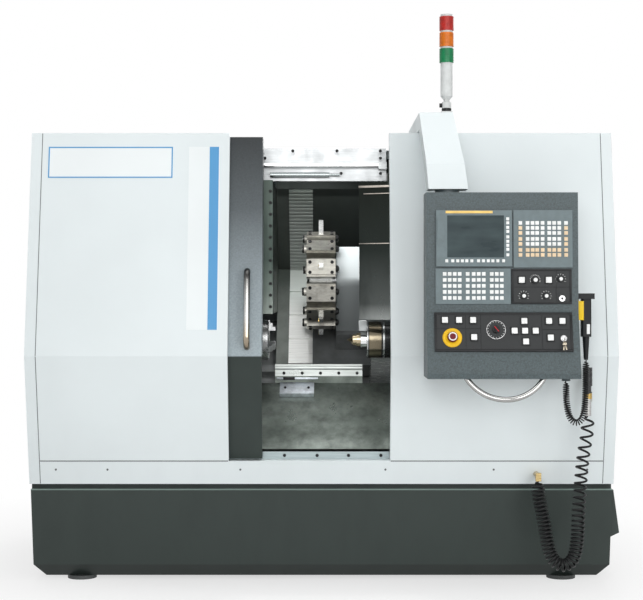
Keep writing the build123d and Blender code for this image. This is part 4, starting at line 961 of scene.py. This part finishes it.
class DressTurret(bpy.types.Operator):
    """Turret: disc, holders with their bolts, tools and inserts"""
    bl_idname = "lathe.turret"
    bl_label = "Turret"

    reach, stations, bare_station = 0.363, 12, 2
    holder_mid, holder_face, hub_r, tip_r = 0.193, 0.216, 0.06, 0.246
    nozzle_x, nut_x, hub_x, tip_x = 0.061, -0.076, -0.062, -0.0135
    bolt, bolt_columns, bolt_rows = (0.0075, 0.004), (-0.05, 0.046), (-0.023, 0.023)
    # Profiles are radius and height pairs.
    nozzle = ((0, 0), (0.013, 0), (0.0145, 0.005), (0.0135, 0.012), (0.008, 0.016), (0.0045, 0.0165),
              (0.004, 0.013), (0, 0.013))
    nut = ((0.0122, 0), (0.0182, 0), (0.0182, 0.006), (0.016, 0.0085), (0.0122, 0.0085))
    insert = ((0, 0), (0.008, 0), (0.0085, 0.003), (0, 0.003))

    def execute(self, context):
        """Dresses the turret."""
        lean = self.reach / sqrt(2)
        self.centre = Vector(spindle_axis) + Vector((0, lean, lean))
        hues = context.scene.lathe_colours
        # Painted shade: the turret's housing takes the covers' coat at half its brightness.
        dress(powder_coat("housing_coat_painted_shade", shade(hues.panel[:], 0.5), 1100, 0.1), "turret_housing")
        dress(turned_steel("disc_steel", (0.4, 0.41, 0.41), 0.3, self.centre), "turret_disc")
        dress(brushed("holder_steel", (0.42, 0.41, 0.37), 0.32, (40, 90, 90), 0.4), "tool_holders")
        dress(brushed("tool_steel", (0.72, 0.73, 0.72), 0.24, (60, 160, 160), 0.2), "cutting_tools")
        self.bolts()
        self.nozzles()
        self.inserts()
        return {"FINISHED"}

    def outward(self, station):
        """Direction from the turret's axis to a station."""
        angle = radians(45 + 360 * station / self.stations)
        return Vector((0, cos(angle), sin(angle)))

    def point(self, out, radius, x):
        """Point at a radius in a direction, and at a width."""
        return self.centre + out * radius + Vector((x, 0, 0))

    def nozzles(self):
        """Black coolant nozzles on the holders' right, and black clamp nuts round the bars on their left."""
        black = moulded("nozzle_black", (0.014, 0.015, 0.015), 0.35)
        nozzle = shape_of(add_turned, self.nozzle, Matrix(), 20)
        nut = shape_of(add_turned, self.nut, Matrix(), 12, loop=True)
        outs = [self.outward(station) for station in range(self.stations)]
        nozzles = [(self.point(out, self.holder_mid, self.nozzle_x), (1, 0, 0)) for out in outs]
        nuts = [(self.point(out, self.holder_mid, self.nut_x), (-1, 0, 0)) for out in outs[1::2]]
        scatter("coolant_nozzles", nozzles, nozzle, black, "turret", "black_plastic")
        scatter("bar_nuts", nuts, nut, black, "turret", "black_plastic")

    def bolts(self):
        """Four bolts on each holder's outer face, and the screws of the disc's hub."""
        spots = []
        for station in range(self.stations):
            out = self.outward(station)
            side = Vector((1, 0, 0)).cross(out)
            spots += [(self.point(out, self.holder_face, x) + side * across, out)
                      for x in self.bolt_columns for across in self.bolt_rows]
            spots.append((self.point(out, self.hub_r, self.hub_x), (-1, 0, 0)))
        scatter("holder_bolts", spots, socket_bolt(*self.bolt), bolt_black(), "turret", "black_plastic")

    def inserts(self):
        """Coated insert on the tip of each turning tool."""
        shape = bmesh.new()
        for station in range(0, self.stations, 2):
            if station != self.bare_station:
                out = self.outward(station)
                place = basis(self.point(out, self.tip_r, self.tip_x), out, out.cross(Vector((-1, 0, 0))))
                add_turned(shape, self.insert, place, 3)
        gold = polished("insert_gold", (0.75, 0.55, 0.2), 0.25)
        solid("tool_inserts", shape, gold, "turret", "brass")


class DressPendant(bpy.types.Operator):
    """Control pendant: hammered housing, caps, dials, frames and the handheld unit"""
    bl_idname = "lathe.pendant"
    bl_label = "Control pendant"

    # Pixel places on the pendant's faces, and pixel boxes as left, right, top and bottom.
    columns = (520.8, 528, 533, 537.6, 543, 549.7, 554.6, 559.7, 566.5)
    rows = (223, 228, 233, 239, 244, 250, 255)
    operator_columns = (445, 450, 455, 460, 468, 474, 479, 484, 492, 497, 502)
    operator_rows = (274, 280, 286, 292, 298)
    soft_columns = (447, 453, 458, 462.6, 467, 472, 478.7, 483.6, 488.5, 493, 498, 503.7)
    soft_rows = (219, 223, 227.6, 231.6, 237, 241.5, 245.5, 249.5, 255)
    soft_row_below, soft_column_beside = 261, 508
    squares = ((522, 280), (549, 280), (473, 321), (473.6, 338.5), (524, 322), (514, 332), (524.4, 332),
               (535, 332), (525, 343), (548.6, 322), (562, 322), (549.7, 339))
    push_squares = ((445, 321), (459, 321))
    knobs = ((524, 296), (546.5, 296), (561, 279))
    stop, mode, feed, key, lock = (452, 339), (495.7, 331), (535.5, 280), (562.5, 340), (562, 298.6)
    panels = (((512, 572, 269, 304), 2), ((434.5, 572, 313, 353), 2.4))
    dividers = ((556.2, 556.8, 271, 302), (514, 570, 286.9, 287.5), (465.2, 465.8, 315.4, 350.6),
                (480.2, 480.8, 315.4, 350.6), (541.2, 541.8, 315.4, 350.6), (436.9, 465.2, 329.3, 329.9),
                (465.8, 480.2, 329.3, 329.9), (541.8, 569.6, 330.3, 330.9))
    card, card_line, display_strip = (437.6, 444.5, 219, 243), 0.3, (446, 493, 210.9, 213.4)

    # Sizes in metres: a thickness ends in t, a height in h and a radius in r.
    display_t, keypad_t, panel_t, dial_t, print_lift = 0.014, 0.008, 0.007, 0.011, 0.0002
    frame_h, divider_h, card_h, strip_h = 0.0025, 0.001, 0.0016, 0.0012
    frame_edge, strip_edge = 0.0005, 0.0004
    key_edge, soft_edge, push_edge, bezel_edge = 0.0009, 0.0008, 0.0018, 0.0006
    key_h, push_h, bezel_h, bezel_outer, bezel_inner = 0.0038, 0.0078, 0.0035, 0.031, 0.0238
    # A scale has a count, a radius, and its start and sweep in degrees.
    tick, mode_scale = (0.004, 0.0014, 0.0008), (18, 0.0315, 90, 340)
    feed_scale, knob_scale = (13, 0.019, -20, 220), (9, 0.0185, -30, 240)
    pointer, pointer_turn, pointer_lift, pointer_edge = (0.0026, 0.026, 0.001), radians(39), 0.0167, 0.0003
    # Profiles are radius and height pairs.
    knob_skirt = ((0, 0), (0.0126, 0), (0.0122, 0.009), (0.0108, 0.0116), (0, 0.0116))
    knob_top, knob_top_lift = ((0, 0), (0.0072, 0), (0.0068, 0.0012), (0, 0.0012)), 0.0115
    feed_top, feed_top_lift = ((0, 0), (0.008, 0), (0.0076, 0.0012), (0, 0.0012)), 0.0132
    lock_barrel = ((0, 0), (0.0128, 0), (0.012, 0.0116), (0.004, 0.0116), (0.0035, 0.009), (0, 0.009))
    stop_collar = ((0.0135, 0.0065), (0.0375, 0.0065), (0.0375, 0.0095), (0.035, 0.0122), (0.0222, 0.0128),
                   (0.021, 0.0122), (0.0207, 0.0113), (0.0135, 0.0113))
    stop_ring = (0.0165, 0.0122, 0.0305, 0.0328)
    mode_rim_outer, mode_rim_inner, mode_rim_lift = 0.0372, 0.035, 0.0006
    key_lift, hoop_r, hoop_wire, hoop_drop, key_drop = 0.03, 0.0085, 0.0009, 0.011, 0.018
    key_leans = ((-0.16, -0.002), (0.2, 0.002))
    key_bow, key_blade, bow_edge, blade_edge = (0.012, 0.012, 0.0016), (0.005, 0.02, 0.0014), 0.0006, 0.0004
    grip_front, grip_front_place = (0.0245, 0.0045, 0.074), (1.00625, -0.97325, 1.12)
    grip_side, grip_side_place = (0.008, 0.0125, 0.074), (0.998, -0.96625, 1.12)
    bare_plate, bare_plate_place = (0.012, 0.001, 0.038), (1.037, -0.9704, 1.048)
    grip_edge, bare_plate_edge = 0.001, 0.0002
    relief, rib_count, rib_pitch, rib_h, rib_wall = (1.031, -0.95, 0.934), 10, 0.0085, 0.0042, 0.003
    rib_r, rib_growth = 0.0092, 0.00052

    def execute(self, context):
        """Dresses the pendant."""
        hues, sizes = context.scene.lathe_colours, context.scene.lathe_sizes
        black = moulded("pendant_black", (0.011, 0.012, 0.013), 0.42)
        white = moulded("cap_white", (0.83, 0.84, 0.83), 0.38)
        steel = polished("knob_steel", (0.6, 0.6, 0.6), 0.2)
        lever = moulded("lever_yellow", (0.82, 0.55, 0.02), 0.38)
        self.black, self.white = (black, "pendant", "black_plastic"), (white, "pendant", "white_plastic")
        dress(powder_coat("arm_coat", hues.panel[:], 1100, 0.1), "pendant_arm")
        dress(hammered("pendant_coat", hues.pendant[:], 160, 0.4), "pendant_housing")
        dress(moulded("keypad_slate", (0.15, 0.19, 0.2), 0.45), "display_unit", "keypads")
        dress(screen_glass(), "display_screen")
        dress(moulded("switch_black", (0.028, 0.03, 0.031), 0.45), "switch_panels")
        dress(black, "mode_dial", "feed_dial", "handheld_unit")
        dress(white, "cycle_start_button", "feed_hold_button")
        dress(moulded("stop_red", (0.14, 0.006, 0.014), 0.3), "emergency_stop")
        dress(lever, "handheld_lever")
        dress(polished("bow_steel", (0.42, 0.42, 0.41), 0.16), "pendant_handle")
        dress(steel, "key_switch")
        self.caps(sizes)
        self.frames()
        self.scales(steel)
        self.knob_caps(white)
        self.lock_and_pointer(steel)
        self.stop_plate(white)
        self.hanging_keys()
        self.strain_ribs()
        self.handheld_grip(lever)
        return {"FINISHED"}

    def caps(self, sizes):
        """Caps over the keys and squares, with bezels round the squares."""
        white_spots, beige_spots = [], []
        for column in self.columns:
            for row in self.rows:
                outer = column in (self.columns[0], self.columns[-1]) and row > self.rows[0]
                spots = beige_spots if outer or row > self.rows[4] else white_spots
                spots.append(pendant_spot((column, row), self.keypad_t))
        white_spots += [pendant_spot((column, row), self.keypad_t)
                        for column in self.operator_columns for row in self.operator_rows]
        beige = moulded("cap_beige", (0.78, 0.6, 0.4), 0.4)
        key_cap = sizes.key_cap, self.key_h, self.key_edge
        scatter("key_caps_white", white_spots, cap(*key_cap), *self.white)
        scatter("key_caps_beige", beige_spots, cap(*key_cap), beige, "pendant", "white_plastic")
        soft = [pendant_spot((column, self.soft_row_below), self.display_t) for column in self.soft_columns]
        soft += [pendant_spot((self.soft_column_beside, row), self.display_t) for row in self.soft_rows]
        scatter("soft_key_caps", soft, cap(sizes.soft_cap, self.key_h, self.soft_edge), *self.white)
        spots = [pendant_spot(place, self.panel_t) for place in self.squares]
        scatter("push_caps", spots, cap(sizes.push_cap, self.push_h, self.push_edge), *self.white)
        spots += [pendant_spot(place, self.panel_t) for place in self.push_squares]
        scatter("cap_bezels", spots, self.bezel(), *self.black)

    def bezel(self):
        """Square ring round a push cap."""
        wall = (self.bezel_outer - self.bezel_inner) / 2
        middle = (self.bezel_outer - wall) / 2
        shape = bmesh.new()
        for offset in (-middle, middle):
            upright = Matrix.Translation((offset, 0, self.bezel_h / 2))
            level = Matrix.Translation((0, offset, self.bezel_h / 2))
            add_box(shape, (wall, self.bezel_outer, self.bezel_h), upright, self.bezel_edge)
            add_box(shape, (self.bezel_inner, wall, self.bezel_h), level, self.bezel_edge)
        return shape

    def frames(self):
        """Raised black frames and dividers of the panels, the card's outline and the display's strip."""
        shape = bmesh.new()
        for panel, bar in self.panels:
            for span in border(*panel, bar):
                pendant_strip(shape, span, self.panel_t, self.frame_h, self.frame_edge)
        for span in self.dividers:
            pendant_strip(shape, span, self.panel_t, self.divider_h)
        for span in border(*self.card, self.card_line):
            pendant_strip(shape, span, self.display_t, self.card_h)
        solid("panel_frames", shape, *self.black)
        strip = shape_of(pendant_strip, self.display_strip, self.display_t, self.strip_h, self.strip_edge)
        yellow = moulded("strip_yellow", (0.85, 0.58, 0.18), 0.4)
        solid("display_strip", strip, yellow, "pendant", "yellow_plastic")

    def scales(self, steel):
        """Tick marks round the dials and knobs, and the mode dial's rim."""
        mode = pendant_place(self.mode, self.dial_t + self.print_lift)
        feed = pendant_place(self.feed, self.panel_t + self.print_lift)
        ticks("mode_scale", *self.mode_scale, self.tick, mode, *self.white)
        rim = shape_of(add_ring, self.mode_rim_outer, self.mode_rim_inner, self.panel_t,
                       self.dial_t + self.mode_rim_lift, pendant_place(self.mode), 64)
        solid("mode_rim", rim, steel, "pendant", "ground_steel")
        ticks("feed_scale", *self.feed_scale, self.tick, feed, *self.white)
        for number, pixel in enumerate(self.knobs, 1):
            place = pendant_place(pixel, self.panel_t + self.print_lift)
            ticks(f"knob_scale_{number}", *self.knob_scale, self.tick, place, *self.white)

    def knob_caps(self, white):
        """Skirts and white tops of the override knobs, and the feed dial's white top."""
        skirt = shape_of(add_turned, self.knob_skirt, Matrix(), 24)
        spots = [pendant_spot(pixel, self.panel_t) for pixel in self.knobs]
        scatter("knob_skirts", spots, skirt, *self.black)
        top = shape_of(add_turned, self.knob_top, Matrix(), 24)
        spots = [pendant_spot(pixel, self.panel_t + self.knob_top_lift) for pixel in self.knobs]
        scatter("knob_tops", spots, top, *self.white)
        place = pendant_place(self.feed, self.panel_t + self.feed_top_lift)
        solid("feed_top", shape_of(add_turned, self.feed_top, place, 24), white, "feed_dial", "white_plastic")

    def lock_and_pointer(self, steel):
        """Red pointer on the mode dial and the upper lock's barrel."""
        turn = Matrix.Rotation(self.pointer_turn, 4, "Z")
        place = pendant_place(self.mode, self.dial_t + self.pointer_lift) @ turn
        pointer = shape_of(add_box, self.pointer, place, self.pointer_edge)
        red = moulded("pointer_red", (0.55, 0.02, 0.03), 0.4)
        solid("mode_pointer", pointer, red, "mode_dial", "red_plastic")
        lock = shape_of(add_turned, self.lock_barrel, pendant_place(self.lock, self.panel_t), 32)
        solid("upper_lock", lock, steel, "pendant", "ground_steel")

    def stop_plate(self, white):
        """Yellow collar under the stop button and the pale ring on its cap."""
        place = pendant_place(self.stop)
        collar = shape_of(add_turned, self.stop_collar, place, 56, loop=True)
        yellow = moulded("stop_yellow", (0.83, 0.5, 0.015), 0.38)
        solid("stop_collar", collar, yellow, "pendant", "yellow_plastic")
        ring = shape_of(add_ring, *self.stop_ring, place, 48)
        solid("stop_ring", ring, white, "stop_button", "white_plastic")

    def hanging_keys(self):
        """Split ring with two keys on the key switch."""
        place = pendant_place(self.key, self.key_lift)
        hoop = place @ Matrix.Translation((0, -self.hoop_drop, 0)) @ Matrix.Rotation(pi / 2, 4, "Y")
        wire = [(self.hoop_r + self.hoop_wire * cos(step * pi / 4), self.hoop_wire * sin(step * pi / 4))
                for step in range(8)]
        shape = shape_of(add_turned, wire, hoop, 24, loop=True)
        bow_y, blade_y = -self.key_bow[1] / 2, -self.key_bow[1] - self.key_blade[1] / 2
        for lean, lift in self.key_leans:
            key = place @ Matrix.Translation((0, -self.key_drop, lift)) @ Matrix.Rotation(lean, 4, "Z")
            add_box(shape, self.key_bow, key @ Matrix.Translation((0, bow_y, 0)), self.bow_edge)
            add_box(shape, self.key_blade, key @ Matrix.Translation((0, blade_y, 0)), self.blade_edge)
        steel = polished("key_steel", (0.26, 0.23, 0.18), 0.25)
        solid("hanging_keys", shape, steel, "key_switch", "ground_steel")

    def handheld_grip(self, yellow):
        """Yellow grip that wraps the handheld unit's lever, and a bare white plate below it."""
        grip = shape_of(add_box, self.grip_front, Matrix.Translation(self.grip_front_place), self.grip_edge)
        add_box(grip, self.grip_side, Matrix.Translation(self.grip_side_place), self.grip_edge)
        solid("lever_grip", grip, yellow, "lever", "yellow_plastic")
        place = Matrix.Translation(self.bare_plate_place)
        plate = shape_of(add_box, self.bare_plate, place, self.bare_plate_edge)
        solid("handheld_plate", plate, *self.white)

    def strain_ribs(self):
        """Ribs of the handheld unit's strain relief, wider towards the unit."""
        shape = bmesh.new()
        for step in range(self.rib_count):
            place = Matrix.Translation(self.relief) @ Matrix.Translation((0, 0, self.rib_pitch * step))
            radius = self.rib_r + self.rib_growth * step
            add_ring(shape, radius, radius - self.rib_wall, 0, self.rib_h, place, 28)
        solid("strain_ribs", shape, *self.black)


class DressBeacon(bpy.types.Operator):
    """Beacon: white post and ribbed lens rings"""
    bl_idname = "lathe.beacon"
    bl_label = "Beacon"

    # A ring has an outer and an inner radius, a low and a high edge.
    x, y = 0.5, -0.8
    lens_feet, lens_h, rib = (2.108, 2.172, 2.236), 0.056, (0.0288, 0.0272, -0.0016, 0.0016)
    joint_ring, collar_ring = (0.0195, 0.0122, 1.912, 1.9255), (0.0188, 0.0122, 1.9265, 1.951)
    knob_place = (0.4775, -0.8, 1.938)
    knob = ((0, -0.006), (0.0085, -0.006), (0.0092, 0.004), (0.004, 0.006), (0.004, 0.0095), (0, 0.0095))

    def execute(self, context):
        """Dresses the beacon."""
        lens = lens_plastic()
        dress(moulded("post_white", (0.6, 0.62, 0.615), 0.45), "beacon_post")
        dress(lens, "beacon_lenses")
        count = context.scene.lathe_sizes.lens_ribs
        spots = [((self.x, self.y, foot + self.lens_h * (step + 0.5) / count), (0, 0, 1))
                 for foot in self.lens_feet for step in range(count)]
        scatter("lens_ribs", spots, shape_of(add_ring, *self.rib, Matrix(), 36), lens, "machine", "lens")
        self.joint()
        return {"FINISHED"}

    def joint(self):
        """Black tilt joint with its knob and a pale collar on the post's neck."""
        neck = Matrix.Translation((self.x, self.y, 0))
        shape = shape_of(add_ring, *self.joint_ring, neck, 40)
        knob = Matrix.Translation(self.knob_place) @ Matrix.Rotation(pi / 2, 4, "Y")
        add_turned(shape, self.knob, knob, 20)
        black = moulded("joint_black", (0.012, 0.013, 0.013), 0.45)
        solid("beacon_joint", shape, black, "machine", "black_plastic")
        pale = moulded("collar_white", (0.62, 0.64, 0.63), 0.4)
        collar = shape_of(add_ring, *self.collar_ring, neck, 40)
        solid("beacon_collar", collar, pale, "machine", "white_plastic")


class HangCords(bpy.types.Operator):
    """Curly cord of the handheld unit, curly air hose and its fittings"""
    bl_idname = "lathe.cords"
    bl_label = "Cords"

    cord_route = ((0.952, -0.958, 0.846), (0.952, -0.958, 0.8), (0.954, -0.965, 0.752),
                  (0.962, -0.97, 0.708), (0.982, -0.972, 0.682), (1.007, -0.97, 0.688),
                  (1.022, -0.964, 0.718), (1.027, -0.958, 0.768), (1.03, -0.953, 0.826),
                  (1.031, -0.95, 0.88), (1.031, -0.95, 0.928))
    hose_route = ((0.873, -0.756, 0.43), (0.873, -0.756, 0.38), (0.884, -0.768, 0.318),
                  (0.897, -0.775, 0.252), (0.905, -0.784, 0.186), (0.922, -0.792, 0.122),
                  (0.966, -0.802, 0.092), (1.006, -0.812, 0.122), (1.019, -0.82, 0.19),
                  (1.022, -0.825, 0.262), (1.024, -0.828, 0.338), (1.03, -0.83, 0.414),
                  (1.035, -0.832, 0.49), (1.044, -0.835, 0.566), (1.058, -0.838, 0.64),
                  (1.058, -0.838, 0.7))
    cord_curl_r, hose_curl_r, pull_start, pull_run = 0.0112, 0.0232, 0.5, 0.4

    def execute(self, context):
        """Hangs both curly cords."""
        sizes = context.scene.lathe_sizes
        jacket = moulded("cord_jacket", (0.012, 0.0125, 0.013), 0.36)
        dress(polished("fitting_brass", (0.55, 0.42, 0.2), 0.25), "air_fitting")
        dress(coupler_metal(), "air_coupler")
        curls = self.curls(self.cord_route, self.cord_curl_r, lambda share: sizes.cord_pitch)
        cord = self.tube("handheld_cord", curls, sizes.cord_wire, jacket)
        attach(cord, "pendant")
        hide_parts("coil_cord")
        self.length(curls)

        def hose_pitch(share):
            pulled = max(0, min(1, (share - self.pull_start) / self.pull_run))
            return sizes.hose_pitch + (sizes.hose_spread - sizes.hose_pitch) * pulled

        curls = self.curls(self.hose_route, self.hose_curl_r, hose_pitch)
        hose = self.tube("curly_air_hose", curls, sizes.hose_wire, jacket)
        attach(hose, "machine")
        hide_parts("air_hose")
        self.length(curls)
        return {"FINISHED"}

    def spline(self, name, points):
        """Curve with one smooth open spline through control points."""
        curve = bpy.data.curves.new(name, "CURVE")
        curve.dimensions = "3D"
        line = curve.splines.new("NURBS")
        line.points.add(len(points) - 1)
        for point, place in zip(line.points, points):
            point.co = (*place, 1)
        line.order_u = 3
        line.use_endpoint_u = True
        made = bpy.data.objects.new(name, curve)
        bpy.context.scene.collection.objects.link(made)
        return made

    def centreline(self, route):
        """Points read from the route's own smooth spline."""
        guide = self.spline("guide", route)
        guide.data.resolution_u = 16
        graph = bpy.context.evaluated_depsgraph_get()
        mesh = bpy.data.meshes.new_from_object(guide.evaluated_get(graph), depsgraph=graph)
        points = [vert.co.copy() for vert in mesh.vertices]
        bpy.data.meshes.remove(mesh)
        bpy.data.objects.remove(guide)
        return points

    def curls(self, route, radius, pitch_at):
        """Helix round a route, drawn in to its line at both ends."""
        per_turn, ease, lead = 14, 0.02, 0.006
        points = self.centreline(route)
        total = sum((after - before).length for before, after in zip(points, points[1:]))
        tangent = (points[1] - points[0]).normalized()
        side = tangent.orthogonal().normalized()
        made, angle, walked, due = [points[0]], 0.0, 0.0, lead
        for before, after in zip(points, points[1:]):
            run = after - before
            heading = run.normalized()
            side = (side - heading * side.dot(heading)).normalized()
            other = heading.cross(side)
            while due <= walked + run.length and due < total - lead:
                centre = before + heading * (due - walked)
                drawn = min(1, due / ease, (total - due) / ease)
                made.append(centre + (side * cos(angle) + other * sin(angle)) * radius * drawn)
                angle += 2 * pi / per_turn
                due += pitch_at(due / total) / per_turn
            walked += run.length
        return [*made, points[-1]]

    def tube(self, name, points, wire, material):
        """Round cord along points."""
        made = self.spline(name, points)
        made.data.resolution_u = 2
        made.data.bevel_depth = wire / 2
        made.data.bevel_resolution = 2
        made.data.use_fill_caps = True
        made.data.materials.append(material)
        return made

    def length(self, points):
        """Length of the smooth spline over control points."""
        line = self.centreline(points)
        return sum((after - before).length for before, after in zip(line, line[1:]))


class SetStage(bpy.types.Operator):
    """Floor, soft lamps, pale world and the camera at the photograph's place"""
    bl_idname = "lathe.stage"
    bl_label = "Stage"

    lamps = (("lamp_key", (-1.5, -6.9, 3.3), (0.7, -0.4, 1.2), 4.0, 46),
             ("lamp_front", (0.1, -7.4, 2.7), (0, -0.4, 1.1), 3.2, 96),
             ("lamp_side", (3.4, -6.2, 2.3), (0.4, -0.4, 1.0), 3.2, 108),
             ("lamp_top", (0, -0.5, 5.2), (0, 0, 0.5), 4.5, 90),
             ("lamp_back", (1.5, 5.0, 3.6), (0, 0.4, 1.0), 4.0, 130),
             ("lamp_chamber", (-0.04, -0.24, 1.77), (-0.06, -0.2, 1.0), 0.3, 8.5))
    floor_half, shadow_r, white_r, soft_strength = 40, 0.9, 2.6, 0.4
    lens_mm, sensor_mm, image_width, image_shift, eye = 84, 36, 643, -10, (0, -6.8, 1.2)

    def execute(self, context):
        """Sets the stage."""
        scene = context.scene
        shape = bmesh.new()
        bmesh.ops.create_grid(shape, x_segments=1, y_segments=1, size=self.floor_half)
        floor = bpy.data.objects.new("floor", as_mesh(shape, "floor"))
        scene.collection.objects.link(floor)
        floor.data.materials.append(self.floor_finish())
        for name, place, target, size, power in self.lamps:
            lamp = bpy.data.lights.new(name, "AREA")
            lamp.shape = "DISK"
            lamp.size = size
            lamp.energy = power
            made = bpy.data.objects.new(name, lamp)
            made.location = place
            made.rotation_euler = (Vector(target) - Vector(place)).to_track_quat("-Z", "Y").to_euler()
            made.visible_glossy = name != "lamp_chamber"
            scene.collection.objects.link(made)
        self.world(scene)
        self.camera(scene)
        scene.view_settings.view_transform = "Standard"
        return {"FINISHED"}

    def floor_finish(self):
        """Pale floor that keeps the shadow near the object and runs out to white further away."""
        pale = Finish("floor_pale", (0.9, 0.9, 0.9), 0.7)
        pale.colour(pale.between(pale.noise(0.7), (0.89, 0.89, 0.89), (0.91, 0.91, 0.91)))
        away = pale.node("ShaderNodeVectorMath", operation="LENGTH")
        pale.link(pale.place, away.inputs[0])
        fade = pale.span(away.outputs["Value"], (self.shadow_r, self.white_r), (0.62, 1))
        white = pale.math("MULTIPLY", fade, self.seen(pale.tree))
        glow = pale.node("ShaderNodeEmission")
        mix = pale.node("ShaderNodeMixShader")
        pale.link(white, mix.inputs[0])
        pale.link(pale.shader.outputs[0], mix.inputs[1])
        pale.link(glow.outputs[0], mix.inputs[2])
        pale.link(mix.outputs[0], pale.tree.nodes["Material Output"].inputs["Surface"])
        return pale.material

    def seen(self, tree):
        """1 where the camera, metal and glass look, 0 for the light on the object."""
        path = tree.nodes.new("ShaderNodeLightPath")
        either = path.outputs["Is Camera Ray"]
        for name in ("Is Glossy Ray", "Is Transmission Ray"):
            larger = tree.nodes.new("ShaderNodeMath")
            larger.operation = "MAXIMUM"
            tree.links.new(either, larger.inputs[0])
            tree.links.new(path.outputs[name], larger.inputs[1])
            either = larger.outputs[0]
        return either

    def world(self, scene):
        """Soft light all round, and white where the camera, metal and glass look."""
        world = bpy.data.worlds.new("studio")
        world.use_nodes = True
        tree = world.node_tree
        soft = tree.nodes["Background"]
        soft.inputs["Color"].default_value = (1, 1, 1, 1)
        soft.inputs["Strength"].default_value = self.soft_strength
        plain = tree.nodes.new("ShaderNodeBackground")
        plain.inputs["Color"].default_value = (1, 1, 1, 1)
        mix = tree.nodes.new("ShaderNodeMixShader")
        tree.links.new(self.seen(tree), mix.inputs[0])
        tree.links.new(soft.outputs[0], mix.inputs[1])
        tree.links.new(plain.outputs[0], mix.inputs[2])
        tree.links.new(mix.outputs[0], tree.nodes["World Output"].inputs["Surface"])
        scene.world = world

    def camera(self, scene):
        """Level camera straight in front."""
        lens = bpy.data.cameras.new("front_view")
        lens.lens = self.lens_mm
        lens.sensor_width = self.sensor_mm
        lens.shift_y = self.image_shift / self.image_width
        camera = bpy.data.objects.new("front_view", lens)
        camera.location = self.eye
        camera.rotation_euler = (pi / 2, 0, 0)
        scene.collection.objects.link(camera)
        scene.camera = camera


operators = (DressCovers, DressChamber, DressTurret, DressPendant, DressBeacon, HangCords, SetStage)


class LathePanel(bpy.types.Panel):
    """Lists the lathe's pieces and their sizes"""
    bl_idname = "VIEW3D_PT_lathe"
    bl_label = "Turning lathe"
    bl_space_type = "VIEW_3D"
    bl_region_type = "UI"
    bl_category = "Lathe"

    def draw(self, context):
        """Draws the values and one button for each group of pieces."""
        for group in (context.scene.lathe_colours, context.scene.lathe_sizes):
            column = self.layout.column(align=True)
            for name in group.__annotations__:
                column.prop(group, name)
        for operator in operators:
            self.layout.operator(operator.bl_idname)


classes = (LatheColours, LatheSizes, *operators, LathePanel)


def register():
    """Registers the classes and their values."""
    for item in classes:
        bpy.utils.register_class(item)
    bpy.types.Scene.lathe_colours = PointerProperty(type=LatheColours)
    bpy.types.Scene.lathe_sizes = PointerProperty(type=LatheSizes)


def unregister():
    """Takes the classes and their values out again."""
    del bpy.types.Scene.lathe_sizes
    del bpy.types.Scene.lathe_colours
    for item in reversed(classes):
        bpy.utils.unregister_class(item)


def main():
    """Dresses the lathe piece by piece."""
    register()
    bpy.ops.lathe.covers()
    bpy.ops.lathe.chamber()
    bpy.ops.lathe.turret()
    bpy.ops.lathe.pendant()
    bpy.ops.lathe.beacon()
    bpy.ops.lathe.cords()
    bpy.ops.lathe.stage()


if __name__ == "__main__":
    main()
